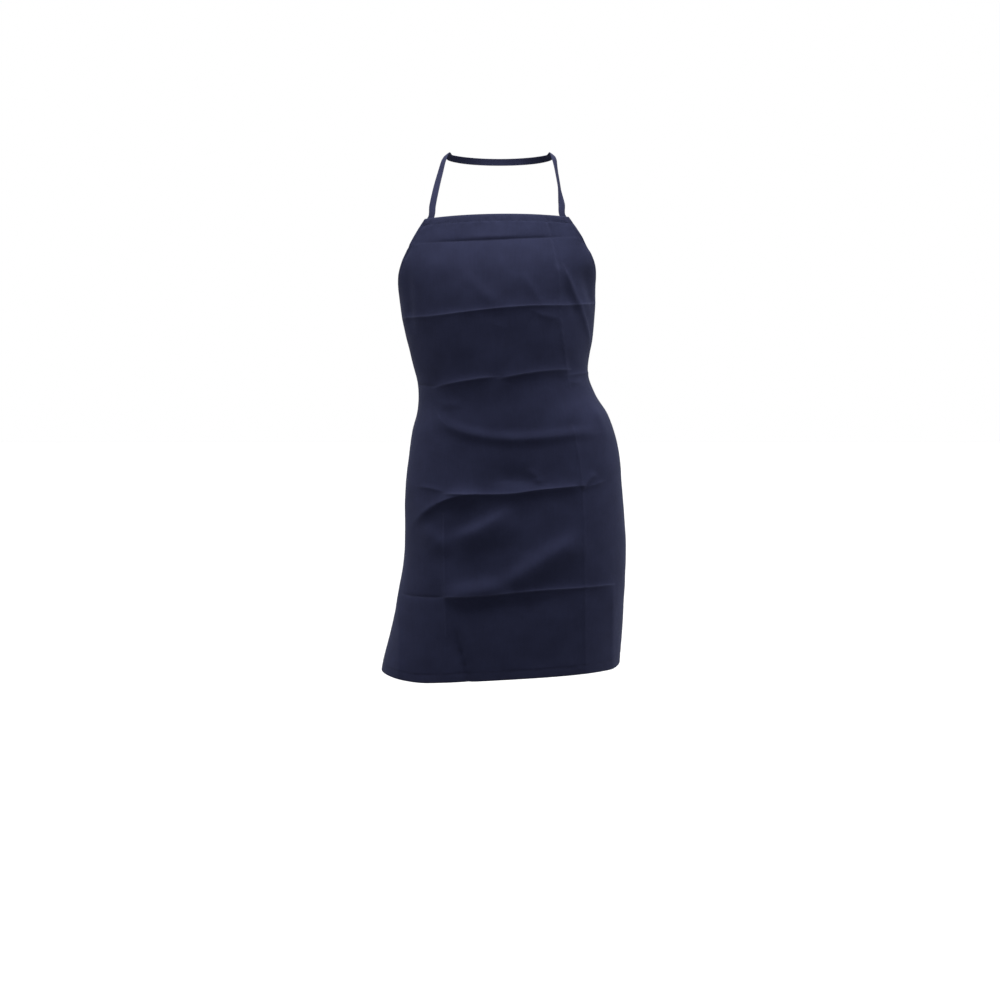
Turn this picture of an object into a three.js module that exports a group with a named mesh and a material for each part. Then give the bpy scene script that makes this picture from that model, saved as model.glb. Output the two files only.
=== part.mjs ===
// A cotton bib apron in the form that it takes when it is worn: one cut panel with turned hems,
// a neck strap of flat tape and two waist ties closed in a bow at the back.
// Millimetres, +Z up, the front faces -Y. The origin is at the nape, on the strap's inner face.
import * as THREE from "three";

// Cut sizes of the panel as it lies flat, and the widths of its hems
const APRON_LENGTH = 880;
const APRON_WIDTH = 700;
const BIB_WIDTH = 270;
const ARMHOLE_DEPTH = 300;
const BIB_HEM_WIDTH = 15;
const SIDE_HEM_WIDTH = 10;
const BOTTOM_HEM_WIDTH = 18;

// Walls of cloth and tape, and the clearances between layers that are sewn together
const CLOTH_THICKNESS = 1.5;
const HEM_THICKNESS = 1.2;
const TAPE_THICKNESS = 1.2;
const TAPE_WIDTH = 13;
const LAYER_GAP = 0.3;
const TAPE_GAP = 0.5;
// Share of a grid cell that stays open between two hems that meet end to end
const SEAM_SHARE = 0.05;

// Sizes of the worn form: how far the bib hangs below the nape, and the round form it wraps
const BIB_DROP = 118;
const SLACK_SHARE = 0.04;
const CORNER_DROOP = 5;
const LEFT_CORNER_LIFT = 16;
const RIGHT_CORNER_LIFT = 12;
const NAPE_SETBACK = 78;
const TRUNK_HALF_WIDTH = 200;
const TRUNK_DEPTH = 130;

// The neck loop: half its width beside the neck, how far its sides lie before the nape, how far its
// edge lies from the bib's corner, and how much of it is sewn behind the bib hem
const NECK_HALF_WIDTH = 99;
const NECK_SIDE_DEPTH = 90;
const STRAP_EDGE = 4;
const STRAP_FOOT = 13;

// The waist ties and their bow. TIE_EDGE is from the armhole's end to the tie's upper edge.
const TIE_EDGE = 5.5;
const TIE_OVERLAP = 9;
const KNOT_WIDTH = 24;
const KNOT_HEIGHT = 20;
const KNOT_DEPTH = 12;
const KNOT_CORNER = 3;
const BOW_LOOP_LENGTH = 95;
const BOW_LOOP_OPENING = 7;
const TAIL_LENGTH = 300;

// The height and reach that the table of folds takes its shares of, and the share of a fold's length
// over which each of its ends dies away
const FOLD_HEIGHT = 10;
const FOLD_REACH = 20;
const FADE_SHARE = 0.16;

// Fineness of the panel's grid and of the tapes, and how far rows lie from a crease
const ROW_STEP = 27;
const COLUMN_COUNT = 28;
const CREASE_FLANK = 9;
const TAPE_STEP = 9;
const LOOP_STEP = 6;
// How far to either side of a place the surface's slope is read
const SLOPE_STEP = 2;

const HALF_WIDTH = APRON_WIDTH / 2;
const HANG = APRON_LENGTH * (1 - SLACK_SHARE);
const HEM_DEPTH = CLOTH_THICKNESS + LAYER_GAP;
const TAPE_DEPTH = HEM_DEPTH + HEM_THICKNESS + TAPE_GAP + TAPE_THICKNESS / 2;

// The round form at heights down the apron. down is a share of the hang, lean, left and right are
// shares of TRUNK_HALF_WIDTH, front and back are shares of TRUNK_DEPTH, square is the exponent of
// the outline and rise is how much the cloth climbs towards +X.
const TRUNK = [
  { down: -0.06, lean: -0.025, left: 0.9, right: 0.9, front: 0.72, back: 0.77, square: 2.2, rise: 0.012 },
  { down: 0, lean: -0.025, left: 0.93, right: 0.93, front: 0.77, back: 0.77, square: 2.3, rise: 0.014 },
  { down: 0.06, lean: -0.025, left: 0.96, right: 0.95, front: 0.86, back: 0.81, square: 2.3, rise: 0.03 },
  { down: 0.11, lean: -0.025, left: 0.96, right: 0.96, front: 0.94, back: 0.85, square: 2.3, rise: 0.045 },
  { down: 0.16, lean: -0.02, left: 0.92, right: 0.92, front: 0.98, back: 0.86, square: 2.3, rise: 0.058 },
  { down: 0.21, lean: -0.01, left: 0.895, right: 0.905, front: 0.982, back: 0.86, square: 2.3, rise: 0.07 },
  { down: 0.28, lean: 0.01, left: 0.845, right: 0.86, front: 0.96, back: 0.85, square: 2.3, rise: 0.08 },
  { down: 0.35, lean: 0.03, left: 0.795, right: 0.8, front: 0.936, back: 0.83, square: 2.2, rise: 0.087 },
  { down: 0.4, lean: 0.065, left: 0.83, right: 0.83, front: 0.928, back: 0.91, square: 2.2, rise: 0.085 },
  { down: 0.45, lean: 0.1, left: 0.92, right: 0.92, front: 0.93, back: 1, square: 2.3, rise: 0.078 },
  { down: 0.52, lean: 0.13, left: 0.99, right: 0.985, front: 0.938, back: 1.09, square: 2.4, rise: 0.07 },
  { down: 0.6, lean: 0.15, left: 1.04, right: 1, front: 0.945, back: 1.15, square: 2.5, rise: 0.066 },
  { down: 0.72, lean: 0.16, left: 1.055, right: 1.025, front: 0.965, back: 1.19, square: 2.6, rise: 0.076 },
  { down: 0.82, lean: 0.17, left: 1.135, right: 1.015, front: 0.985, back: 1.21, square: 2.6, rise: 0.084 },
  { down: 0.91, lean: 0.175, left: 1.21, right: 0.985, front: 1, back: 1.23, square: 2.6, rise: 0.072 },
  { down: 1, lean: 0.18, left: 1.295, right: 0.955, front: 1.01, back: 1.25, square: 2.6, rise: 0.06 },
  { down: 1.06, lean: 0.18, left: 1.3, right: 0.95, front: 1.015, back: 1.25, square: 2.6, rise: 0.058 },
];

// The armhole edge: down is a share of ARMHOLE_DEPTH, out of what the skirt is wider than the bib
const ARMHOLE = [
  { down: 0, out: 0 },
  { down: 0.33, out: 0.335 },
  { down: 0.6, out: 0.57 },
  { down: 0.8, out: 0.74 },
  { down: 0.93, out: 0.89 },
  { down: 1, out: 1 },
];

// Folds in the cloth. from and to are places on the flat panel, [share of half the width, share of
// the length]; sag is how far the middle lies lower, as a share of the length; lift is a share of
// FOLD_HEIGHT, outward when above 0; above and below are the reach on each side, as shares of
// FOLD_REACH. A crease is sharp along its line, a soft fold is round, and a row is a crease across
// the apron that a row of the panel's grid runs along.
const FOLDS = [
  // The bib crease
  { kind: "row", from: [-0.48, 0.056], to: [0.46, 0.051], sag: 0, lift: -0.25, above: 0.4, below: 0.7 },
  // The chest crease
  { kind: "row", from: [-0.66, 0.204], to: [0.68, 0.202], sag: 0, lift: 0.4, above: 0.6, below: 0.4 },
  // The waist crease
  { kind: "row", from: [-0.5, 0.354], to: [0.55, 0.346], sag: 0, lift: 0.35, above: 0.6, below: 0.5 },
  // The belly fold
  { kind: "soft", from: [-0.4, 0.425], to: [0.53, 0.481], sag: 0.03, lift: 0.35, above: 0.6, below: 0.6 },
  // The lap fold
  { kind: "row", from: [-0.4, 0.595], to: [0.4, 0.595], sag: 0, lift: 0.7, above: 0.8, below: 0.6 },
  // The wedge at the lap fold's left end
  { kind: "crease", from: [-0.6, 0.655], to: [-0.2, 0.6], sag: 0, lift: 0.8, above: 0.8, below: 0.7 },
  // The right lap drag
  { kind: "crease", from: [0.34, 0.603], to: [0.44, 0.566], sag: 0, lift: 0.3, above: 0.5, below: 0.5 },
  // The lap swell
  { kind: "soft", from: [-0.42, 0.684], to: [0, 0.624], sag: 0, lift: 0.4, above: 0.7, below: 1.3 },
  // The thigh fold
  { kind: "soft", from: [0.38, 0.697], to: [-0.15, 0.805], sag: 0, lift: 0.65, above: 1.1, below: 0.9 },
  // The knee crease
  { kind: "row", from: [-0.66, 0.812], to: [0.55, 0.815], sag: 0, lift: 0.35, above: 0.6, below: 0.4 },
  // The left upright crease
  { kind: "crease", from: [-0.39, 0.63], to: [-0.387, 0.9], sag: 0, lift: 0.2, above: 0.5, below: 0.5 },
  // The right upright crease in the bib
  { kind: "crease", from: [0.24, -0.02], to: [0.352, 0.36], sag: 0, lift: 0.25, above: 0.5, below: 0.5 },
  // The right upright crease in the skirt
  { kind: "crease", from: [0.335, 0.47], to: [0.355, 1.03], sag: 0, lift: 0.25, above: 0.6, below: 0.5 },
  // The armhole drag
  { kind: "crease", from: [0.345, 0.11], to: [0.58, 0.3], sag: 0, lift: 0.4, above: 0.6, below: 0.6 },
  // The hollow beside the drag
  { kind: "soft", from: [0.48, 0.13], to: [0.7, 0.25], sag: 0, lift: -0.4, above: 1, below: 1 },
  // Where the skirt turns to the left side
  { kind: "soft", from: [-0.75, 0.76], to: [-0.65, 1.06], sag: 0, lift: 0.35, above: 0.9, below: 1.1 },
  // Where the skirt turns to the right side
  { kind: "soft", from: [0.517, 0.77], to: [0.53, 1.06], sag: 0, lift: 0.35, above: 1.1, below: 0.8 },
  // The hem valley
  { kind: "soft", from: [-0.34, 0.86], to: [-0.26, 1.05], sag: 0, lift: -0.4, above: 0.7, below: 0.7 },
];

const CLOTH = new THREE.MeshStandardMaterial({ color: 0x2a2c4b, roughness: 0.92, metalness: 0 });
const TAPE = new THREE.MeshStandardMaterial({ color: 0x31345a, roughness: 0.88, metalness: 0 });

// A smooth curve through one column of a table, read at a place down the apron
function readColumn(table, column, down) {
  const last = table.length - 1;
  let i = 0;
  while (i < last - 1 && table[i + 1].down < down) i += 1;
  const slope = (k) => {
    const before = table[Math.max(k - 1, 0)];
    const after = table[Math.min(k + 1, last)];
    return (after[column] - before[column]) / (after.down - before.down);
  };
  const step = table[i + 1].down - table[i].down;
  const t = THREE.MathUtils.clamp((down - table[i].down) / step, 0, 1);
  const s = 1 - t;
  const ends = table[i][column] * (1 + 2 * t) * s * s + table[i + 1][column] * (3 - 2 * t) * t * t;
  return ends + step * t * s * (slope(i) * s - slope(i + 1) * t);
}

// Half the width of the flat panel at a share of its length
function halfWidthAt(down) {
  const t = THREE.MathUtils.clamp((down * APRON_LENGTH) / ARMHOLE_DEPTH, 0, 1);
  const i = Math.max(ARMHOLE.findIndex((row) => row.down >= t), 1);
  const share = (t - ARMHOLE[i - 1].down) / (ARMHOLE[i].down - ARMHOLE[i - 1].down);
  const out = THREE.MathUtils.lerp(ARMHOLE[i - 1].out, ARMHOLE[i].out, share);
  return THREE.MathUtils.lerp(BIB_WIDTH / 2, HALF_WIDTH, out);
}

// The round form's outline at one height, walked from the middle of the back over the left side,
// the front and the right side. walked is the way along it from the middle of the front.
function outlineAt(down) {
  const size = {};
  for (const column of ["lean", "left", "right"]) {
    size[column] = readColumn(TRUNK, column, down) * TRUNK_HALF_WIDTH;
  }
  for (const column of ["front", "back"]) {
    size[column] = readColumn(TRUNK, column, down) * TRUNK_DEPTH;
  }
  const square = readColumn(TRUNK, "square", down);
  const rise = readColumn(TRUNK, "rise", down);
  const stops = [];
  for (let degree = -180; degree <= 180; degree += 1) {
    const angle = THREE.MathUtils.degToRad(degree);
    const out = Math.abs(Math.sin(angle)) / (degree < 0 ? size.left : size.right);
    const ahead = Math.abs(Math.cos(angle)) / (Math.abs(degree) < 90 ? size.front : size.back);
    const radius = (out ** square + ahead ** square) ** (-1 / square);
    stops.push({ x: radius * Math.sin(angle), y: -radius * Math.cos(angle), walked: 0 });
  }
  const middle = 180;
  for (let k = middle + 1; k < stops.length; k += 1) {
    const stride = Math.hypot(stops[k].x - stops[k - 1].x, stops[k].y - stops[k - 1].y);
    stops[k].walked = stops[k - 1].walked + stride;
  }
  for (let k = middle - 1; k >= 0; k -= 1) {
    const stride = Math.hypot(stops[k].x - stops[k + 1].x, stops[k].y - stops[k + 1].y);
    stops[k].walked = stops[k + 1].walked - stride;
  }
  return { stops, rise, lean: size.lean, down };
}

// A point of the round form, at a way along one outline from the middle of the front
function pointOn(outline, across) {
  const { stops, rise, lean, down } = outline;
  let k = 1;
  while (k < stops.length - 1 && stops[k].walked < across) k += 1;
  const share = (across - stops[k - 1].walked) / (stops[k].walked - stops[k - 1].walked);
  const x = THREE.MathUtils.lerp(stops[k - 1].x, stops[k].x, share);
  const y = THREE.MathUtils.lerp(stops[k - 1].y, stops[k].y, share);
  const atBib = Math.exp((-Math.max(down, 0) * APRON_LENGTH) / (3 * BIB_HEM_WIDTH));
  const droop = CORNER_DROOP * atBib * ((2 * across) / BIB_WIDTH) ** 2;
  const pastTurn = THREE.MathUtils.smoothstep(Math.abs(across) / HALF_WIDTH, 0.48, 0.9);
  const nearHem = THREE.MathUtils.smoothstep(down, 0.8, 1);
  const drawnUp = pastTurn * nearHem * (across < 0 ? LEFT_CORNER_LIFT : RIGHT_CORNER_LIFT);
  const z = rise * x + drawnUp - droop - BIB_DROP - HANG * down;
  return new THREE.Vector3(x + lean, y - NAPE_SETBACK, z);
}

// How far a fold lifts the cloth at a place on the flat panel
function foldLift(fold, across, down) {
  const ax = fold.from[0] * HALF_WIDTH;
  const ay = fold.from[1] * APRON_LENGTH;
  const bx = fold.to[0] * HALF_WIDTH;
  const by = fold.to[1] * APRON_LENGTH;
  const long = Math.hypot(bx - ax, by - ay);
  const px = across - ax;
  const py = down * APRON_LENGTH - ay;
  const along = (px * (bx - ax) + py * (by - ay)) / (long * long);
  const sag = fold.sag * APRON_LENGTH * 4 * along * (1 - along);
  const aside = ((bx - ax) * py - (by - ay) * px) / long;
  const facing = bx >= ax ? 1 : -1;
  const below = aside * facing - sag;
  const reach = (below > 0 ? fold.below : fold.above) * FOLD_REACH;
  const far = Math.abs(below) / reach;
  const shape = fold.kind === "soft" ? Math.exp(-far * far) : Math.exp(-far);
  const toEnd = Math.min(along, 1 - along);
  return fold.lift * FOLD_HEIGHT * shape * THREE.MathUtils.smoothstep(toEnd, 0, FADE_SHARE);
}

// The cloth's outer face at a place on the flat panel, with every fold's lift along its normal
function clothPoint(across, down) {
  const here = outlineAt(down);
  const point = pointOn(here, across);
  const sideways = pointOn(here, across + SLOPE_STEP).sub(pointOn(here, across - SLOPE_STEP));
  const under = pointOn(outlineAt(down + SLOPE_STEP / APRON_LENGTH), across);
  const over = pointOn(outlineAt(down - SLOPE_STEP / APRON_LENGTH), across);
  const outward = under.sub(over).cross(sideways).normalize();
  const lift = FOLDS.reduce((sum, fold) => sum + foldLift(fold, across, down), 0);
  return point.addScaledVector(outward, lift);
}

// Shares of the length at which the grid has rows: both ends, the hems, the armhole's end, each
// crease that runs across with a row on each side of it, and even rows between them
function rowShares() {
  const flank = CREASE_FLANK / APRON_LENGTH;
  const fixed = [
    0,
    BIB_HEM_WIDTH / APRON_LENGTH,
    ARMHOLE_DEPTH / APRON_LENGTH,
    1 - BOTTOM_HEM_WIDTH / APRON_LENGTH,
    1,
  ];
  const pressed = [];
  for (const fold of FOLDS.filter((fold) => fold.kind === "row")) {
    const middle = (fold.from[1] + fold.to[1]) / 2;
    pressed.push(middle - flank, middle, middle + flank);
  }
  const apart = (share, others, least) => others.every((other) => Math.abs(other - share) > least);
  const kept = fixed.concat(pressed.filter((share) => apart(share, fixed, flank / 2)));
  const count = Math.round(APRON_LENGTH / ROW_STEP);
  for (let i = 1; i < count; i += 1) {
    if (apart(i / count, kept, flank)) kept.push(i / count);
  }
  return kept.sort((a, b) => a - b);
}

// The grid of the panel: a point and an outward normal for each row and column. The outermost
// column on each side lies on the cut edge and the next one at the hem's width from it.
function makeGrid() {
  const rows = rowShares();
  const columns = COLUMN_COUNT + 3;
  const points = rows.map((down) => {
    const edge = halfWidthAt(down);
    const hem = edge - SIDE_HEM_WIDTH;
    const places = [-edge];
    for (let j = 0; j <= COLUMN_COUNT; j += 1) places.push(hem * ((2 * j) / COLUMN_COUNT - 1));
    places.push(edge);
    return places.map((across) => clothPoint(across, down));
  });
  const normals = points.map((row, i) =>
    row.map((_, j) => {
      const left = row[Math.max(j - 1, 0)];
      const right = row[Math.min(j + 1, columns - 1)];
      const over = points[Math.max(i - 1, 0)][j];
      const under = points[Math.min(i + 1, rows.length - 1)][j];
      return under.clone().sub(over).cross(right.clone().sub(left)).normalize();
    }),
  );
  return { rows, columns, points, normals };
}

const GRID = makeGrid();
const LAST_ROW = GRID.rows.length - 1;
const LAST_COLUMN = GRID.columns - 1;
const BIB_HEM_ROW = GRID.rows.indexOf(BIB_HEM_WIDTH / APRON_LENGTH);
const ARMHOLE_ROW = GRID.rows.indexOf(ARMHOLE_DEPTH / APRON_LENGTH);
const BOTTOM_HEM_ROW = LAST_ROW - 1;

// A point at a depth behind the cloth's outer face, between the grid's rows and columns
function gridPoint(row, column, depth) {
  const i = Math.min(Math.floor(row), LAST_ROW - 1);
  const j = Math.min(Math.floor(column), LAST_COLUMN - 1);
  const corner = (a, b) => GRID.points[a][b].clone().addScaledVector(GRID.normals[a][b], -depth);
  const upper = corner(i, j).lerp(corner(i, j + 1), column - j);
  const lower = corner(i + 1, j).lerp(corner(i + 1, j + 1), column - j);
  return upper.lerp(lower, row - i);
}

function gridNormal(row, column) {
  return gridPoint(row, column, 0).sub(gridPoint(row, column, 1)).normalize();
}

// The grid's row, with its fraction, at a share of the length
function rowAt(down) {
  const i = Math.max(GRID.rows.findIndex((share) => share >= down), 1);
  return i - 1 + (down - GRID.rows[i - 1]) / (GRID.rows[i] - GRID.rows[i - 1]);
}

// The whole numbers between two places on the grid, with the two places themselves
function stopsBetween(from, to) {
  const stops = [from];
  for (let k = Math.floor(from) + 1; k < to; k += 1) stops.push(k);
  stops.push(to);
  return stops;
}

function closedGeometry(points, faces) {
  const geometry = new THREE.BufferGeometry();
  geometry.setAttribute("position", new THREE.Float32BufferAttribute(points.flatMap((p) => p.toArray()), 3));
  geometry.setIndex(faces);
  geometry.computeVertexNormals();
  return geometry;
}

// One layer of cloth over a stretch of the grid, from an outer to an inner depth
function layer(fromRow, toRow, fromColumn, toColumn, outer, inner) {
  const rows = stopsBetween(fromRow, toRow);
  const columns = stopsBetween(fromColumn, toColumn);
  const points = [];
  for (const depth of [outer, inner]) {
    for (const row of rows) {
      for (const column of columns) points.push(gridPoint(row, column, depth));
    }
  }
  const wide = columns.length;
  const inside = rows.length * wide;
  const faces = [];
  for (let i = 0; i < rows.length - 1; i += 1) {
    for (let j = 0; j < wide - 1; j += 1) {
      const a = i * wide + j;
      const b = a + 1;
      const c = b + wide;
      const d = a + wide;
      faces.push(a, d, c, a, c, b);
      faces.push(inside + a, inside + c, inside + d, inside + a, inside + b, inside + c);
    }
  }
  const rim = [];
  for (let i = 0; i < rows.length - 1; i += 1) rim.push(i * wide);
  for (let j = 0; j < wide - 1; j += 1) rim.push((rows.length - 1) * wide + j);
  for (let i = rows.length - 1; i > 0; i -= 1) rim.push(i * wide + wide - 1);
  for (let j = wide - 1; j > 0; j -= 1) rim.push(j);
  rim.forEach((p, k) => {
    const q = rim[(k + 1) % rim.length];
    faces.push(q, p, inside + p, q, inside + p, inside + q);
  });
  return closedGeometry(points, faces);
}

// A flat tape along stops, each with its place and the way that the tape's outer face looks
function ribbon(stops, step) {
  const curve = new THREE.CatmullRomCurve3(stops.map((stop) => stop.at), false, "centripetal");
  const steps = Math.ceil(curve.getLength() / step);
  const points = [];
  for (let k = 0; k <= steps; k += 1) {
    const t = k / steps;
    const centre = curve.getPoint(t);
    const tangent = curve.getTangent(t);
    const place = t * (stops.length - 1);
    const i = Math.min(Math.floor(place), stops.length - 2);
    const face = stops[i].face.clone().lerp(stops[i + 1].face, place - i);
    face.addScaledVector(tangent, -face.dot(tangent)).normalize();
    const side = tangent.clone().cross(face);
    for (const [out, aside] of [[1, -1], [1, 1], [-1, 1], [-1, -1]]) {
      const corner = centre.clone().addScaledVector(face, (out * TAPE_THICKNESS) / 2);
      points.push(corner.addScaledVector(side, (aside * TAPE_WIDTH) / 2));
    }
  }
  const faces = [0, 3, 2, 0, 2, 1];
  for (let k = 0; k < steps; k += 1) {
    for (let c = 0; c < 4; c += 1) {
      const a = 4 * k + c;
      const b = 4 * k + ((c + 1) % 4);
      faces.push(a, b, b + 4, a, b + 4, a + 4);
    }
  }
  const end = 4 * steps;
  faces.push(end, end + 1, end + 2, end, end + 2, end + 3);
  return closedGeometry(points, faces);
}

const vector = (x, y, z) => new THREE.Vector3(x, y, z);

// The stretch of neck strap from the bib corner on one side to the side of the neck. up, out and
// back are shares of the way from the corner to the side of the neck.
const STRAP_ROUTE = [
  { up: 0.2, out: 0.13, back: 0.15, face: [0.3, -0.8, 0.5] },
  { up: 0.45, out: 0.34, back: 0.38, face: [0.35, -0.7, 0.6] },
  { up: 0.72, out: 0.62, back: 0.66, face: [0.45, -0.5, 0.75] },
  { up: 0.93, out: 0.87, back: 0.87, face: [0.5, -0.25, 0.85] },
];

function strapSide(side) {
  const inset = (STRAP_EDGE + TAPE_WIDTH / 2) / SIDE_HEM_WIDTH;
  const column = side < 0 ? inset : LAST_COLUMN - inset;
  const stops = [];
  for (const share of [STRAP_FOOT / BIB_HEM_WIDTH, STRAP_FOOT / BIB_HEM_WIDTH / 2, 0]) {
    stops.push({ at: gridPoint(share, column, TAPE_DEPTH), face: gridNormal(share, column) });
  }
  const foot = stops[2].at;
  const sideways = side * NECK_HALF_WIDTH - foot.x;
  const backwards = -NECK_SIDE_DEPTH - foot.y;
  for (const { up, out, back, face } of STRAP_ROUTE) {
    const at = vector(foot.x + out * sideways, foot.y + back * backwards, foot.z * (1 - up));
    stops.push({ at, face: vector(side * face[0], face[1], face[2]) });
  }
  return stops;
}

// The neck strap runs from the left corner of the bib over the shoulder, round the nape and back
function neckStrap() {
  const stops = strapSide(-1);
  const middle = TAPE_THICKNESS / 2;
  for (const degree of [0, 22, 45, 68, 90, 112, 135, 158, 180]) {
    const angle = THREE.MathUtils.degToRad(degree);
    const away = Math.sin(angle);
    const x = -NECK_HALF_WIDTH * Math.cos(angle);
    const y = away * (NECK_SIDE_DEPTH + middle) - NECK_SIDE_DEPTH;
    const face = vector(-0.55 * Math.cos(angle), away, 0.85 * (1 - away));
    stops.push({ at: vector(x, y, 0), face });
  }
  stops.push(...strapSide(1).reverse());
  return ribbon(stops, TAPE_STEP);
}

const TIE_DOWN = (ARMHOLE_DEPTH + TIE_EDGE + TAPE_WIDTH / 2) / APRON_LENGTH;
const TIE_OUTLINE = outlineAt(TIE_DOWN);
const BACK_STOP = TIE_OUTLINE.stops[TIE_OUTLINE.stops.length - 1];
const BACK_POINT = pointOn(TIE_OUTLINE, BACK_STOP.walked);

// A waist tie: sewn behind the side hem, then round the back to the knot
function waistTie(side) {
  const girth = side < 0 ? -TIE_OUTLINE.stops[0].walked : BACK_STOP.walked;
  const row = rowAt(TIE_DOWN);
  const inner = TIE_OVERLAP / SIDE_HEM_WIDTH;
  const stops = [];
  for (const inset of [inner, inner / 2, 0]) {
    const column = side < 0 ? inset : LAST_COLUMN - inset;
    stops.push({ at: gridPoint(row, column, TAPE_DEPTH), face: gridNormal(row, column) });
  }
  const slant = (TIE_OUTLINE.rise * TAPE_WIDTH) / 2;
  const end = girth - KNOT_WIDTH / 2 - LAYER_GAP - slant;
  const count = 6;
  for (let k = 1; k <= count; k += 1) {
    const across = THREE.MathUtils.lerp(HALF_WIDTH, end, k / count);
    const along = pointOn(TIE_OUTLINE, side * (across + SLOPE_STEP));
    along.sub(pointOn(TIE_OUTLINE, side * (across - SLOPE_STEP))).normalize();
    const face = vector(0, 0, side).cross(along).normalize().negate();
    const at = pointOn(TIE_OUTLINE, side * across).addScaledVector(face, -TAPE_DEPTH);
    stops.push({ at, face });
  }
  return ribbon(stops, TAPE_STEP);
}

// The knot: a small block with round corners, its inner face level with the ties' inner faces
const KNOT_MIDDLE = KNOT_DEPTH / 2 - TAPE_DEPTH - TAPE_THICKNESS / 2;

function tieKnot() {
  const w = KNOT_WIDTH / 2;
  const h = KNOT_HEIGHT / 2;
  const r = KNOT_CORNER;
  const outline = new THREE.Shape();
  outline.moveTo(-w, r - h);
  outline.lineTo(-w, h - r);
  outline.quadraticCurveTo(-w, h, r - w, h);
  outline.lineTo(w - r, h);
  outline.quadraticCurveTo(w, h, w, h - r);
  outline.lineTo(w, r - h);
  outline.quadraticCurveTo(w, -h, w - r, -h);
  outline.lineTo(r - w, -h);
  outline.quadraticCurveTo(-w, -h, -w, r - h);
  const settings = { depth: KNOT_DEPTH, bevelEnabled: false, curveSegments: 3 };
  const geometry = new THREE.ExtrudeGeometry(outline, settings);
  geometry.translate(0, 0, -KNOT_DEPTH / 2);
  geometry.rotateX(Math.PI / 2);
  return geometry;
}

// A bow loop, out from the knot's side and back under itself. out and down are shares of the
// loop's length, off is the place between the loop's inner run, 0, and its outer run, 1.
const LOOP_ROUTE = [
  { out: 0, down: 0, off: 0.9, face: [0, 1, 0] },
  { out: 0.08, down: 0, off: 0.9, face: [0, 1, 0] },
  { out: 0.2, down: 0.04, off: 1, face: [0, 1, 0.1] },
  { out: 0.42, down: 0.15, off: 1.1, face: [0, 1, 0.1] },
  { out: 0.66, down: 0.37, off: 1.05, face: [0.1, 1, 0] },
  { out: 0.78, down: 0.53, off: 0.85, face: [0.4, 0.8, -0.4] },
  { out: 0.81, down: 0.58, off: 0.5, face: [0.7, 0, -0.7] },
  { out: 0.78, down: 0.54, off: 0.14, face: [0.4, -0.8, -0.4] },
  { out: 0.64, down: 0.37, off: 0, face: [0.1, -1, 0] },
  { out: 0.4, down: 0.17, off: 0, face: [0, -1, 0] },
  { out: 0.2, down: 0.06, off: 0.05, face: [0, -1, 0] },
  { out: 0.08, down: 0.03, off: 0.12, face: [0, -1, 0] },
  { out: 0, down: 0.03, off: 0.12, face: [0, -1, 0] },
];

function bowLoop(side) {
  const start = KNOT_WIDTH / 2 + LAYER_GAP;
  const stops = LOOP_ROUTE.map(({ out, down, off, face }) => {
    const y = (off - 0.5) * BOW_LOOP_OPENING + KNOT_MIDDLE;
    const at = vector(side * (start + out * BOW_LOOP_LENGTH), y, -down * BOW_LOOP_LENGTH);
    return { at, face: vector(side * face[0], face[1], face[2]) };
  });
  return ribbon(stops, LOOP_STEP);
}

// A free tail of a tie, hanging from under the knot over the seat. aside is a share of TAPE_WIDTH.
const TAIL_ROUTE = [
  { down: 0, aside: 0.56 },
  { down: 0.04, aside: 0.56 },
  { down: 0.14, aside: 0.74 },
  { down: 0.3, aside: 1.15 },
  { down: 0.5, aside: 1.7 },
  { down: 0.75, aside: 1.9 },
  { down: 1, aside: 2.4 },
];

function tieTail(side) {
  const top = KNOT_HEIGHT / 2 + LAYER_GAP;
  const stops = TAIL_ROUTE.map(({ down, aside }) => {
    const drop = top + down * TAIL_LENGTH;
    const back = readColumn(TRUNK, "back", TIE_DOWN + drop / HANG) - readColumn(TRUNK, "back", TIE_DOWN);
    const at = vector(side * aside * TAPE_WIDTH, back * TRUNK_DEPTH + TAPE_THICKNESS, -drop);
    return { at, face: vector(0, 1, 0) };
  });
  return ribbon(stops, 2 * TAPE_STEP);
}

const apron = new THREE.Group();
const bow = new THREE.Group();
bow.position.copy(BACK_POINT);
apron.add(bow);

function addPiece(group, name, geometry, material) {
  const mesh = new THREE.Mesh(geometry, material);
  mesh.name = name;
  group.add(mesh);
  return mesh;
}

const HEM_INNER = HEM_DEPTH + HEM_THICKNESS;

addPiece(apron, "apron_panel", layer(0, LAST_ROW, 0, LAST_COLUMN, 0, CLOTH_THICKNESS), CLOTH);
addPiece(apron, "bib_hem", layer(0, BIB_HEM_ROW, 0, LAST_COLUMN, HEM_DEPTH, HEM_INNER), CLOTH);
addPiece(apron, "bottom_hem", layer(BOTTOM_HEM_ROW, LAST_ROW, 0, LAST_COLUMN, HEM_DEPTH, HEM_INNER), CLOTH);
for (const [side, first] of [["left", 0], ["right", LAST_COLUMN - 1]]) {
  const top = BIB_HEM_ROW + SEAM_SHARE;
  const end = BOTTOM_HEM_ROW - SEAM_SHARE;
  const armhole = layer(top, ARMHOLE_ROW - SEAM_SHARE, first, first + 1, HEM_DEPTH, HEM_INNER);
  addPiece(apron, "armhole_hem_" + side, armhole, CLOTH);
  addPiece(apron, "side_hem_" + side, layer(ARMHOLE_ROW, end, first, first + 1, HEM_DEPTH, HEM_INNER), CLOTH);
}

addPiece(apron, "neck_strap", neckStrap(), TAPE);
addPiece(bow, "tie_knot", tieKnot(), TAPE).position.y = KNOT_MIDDLE;
for (const [name, side] of [["left", -1], ["right", 1]]) {
  addPiece(apron, "waist_tie_" + name, waistTie(side), TAPE);
  addPiece(bow, "bow_loop_" + name, bowLoop(side), TAPE);
  addPiece(bow, "tie_tail_" + name, tieTail(side), TAPE);
}

export default apron;
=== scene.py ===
import math

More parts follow.
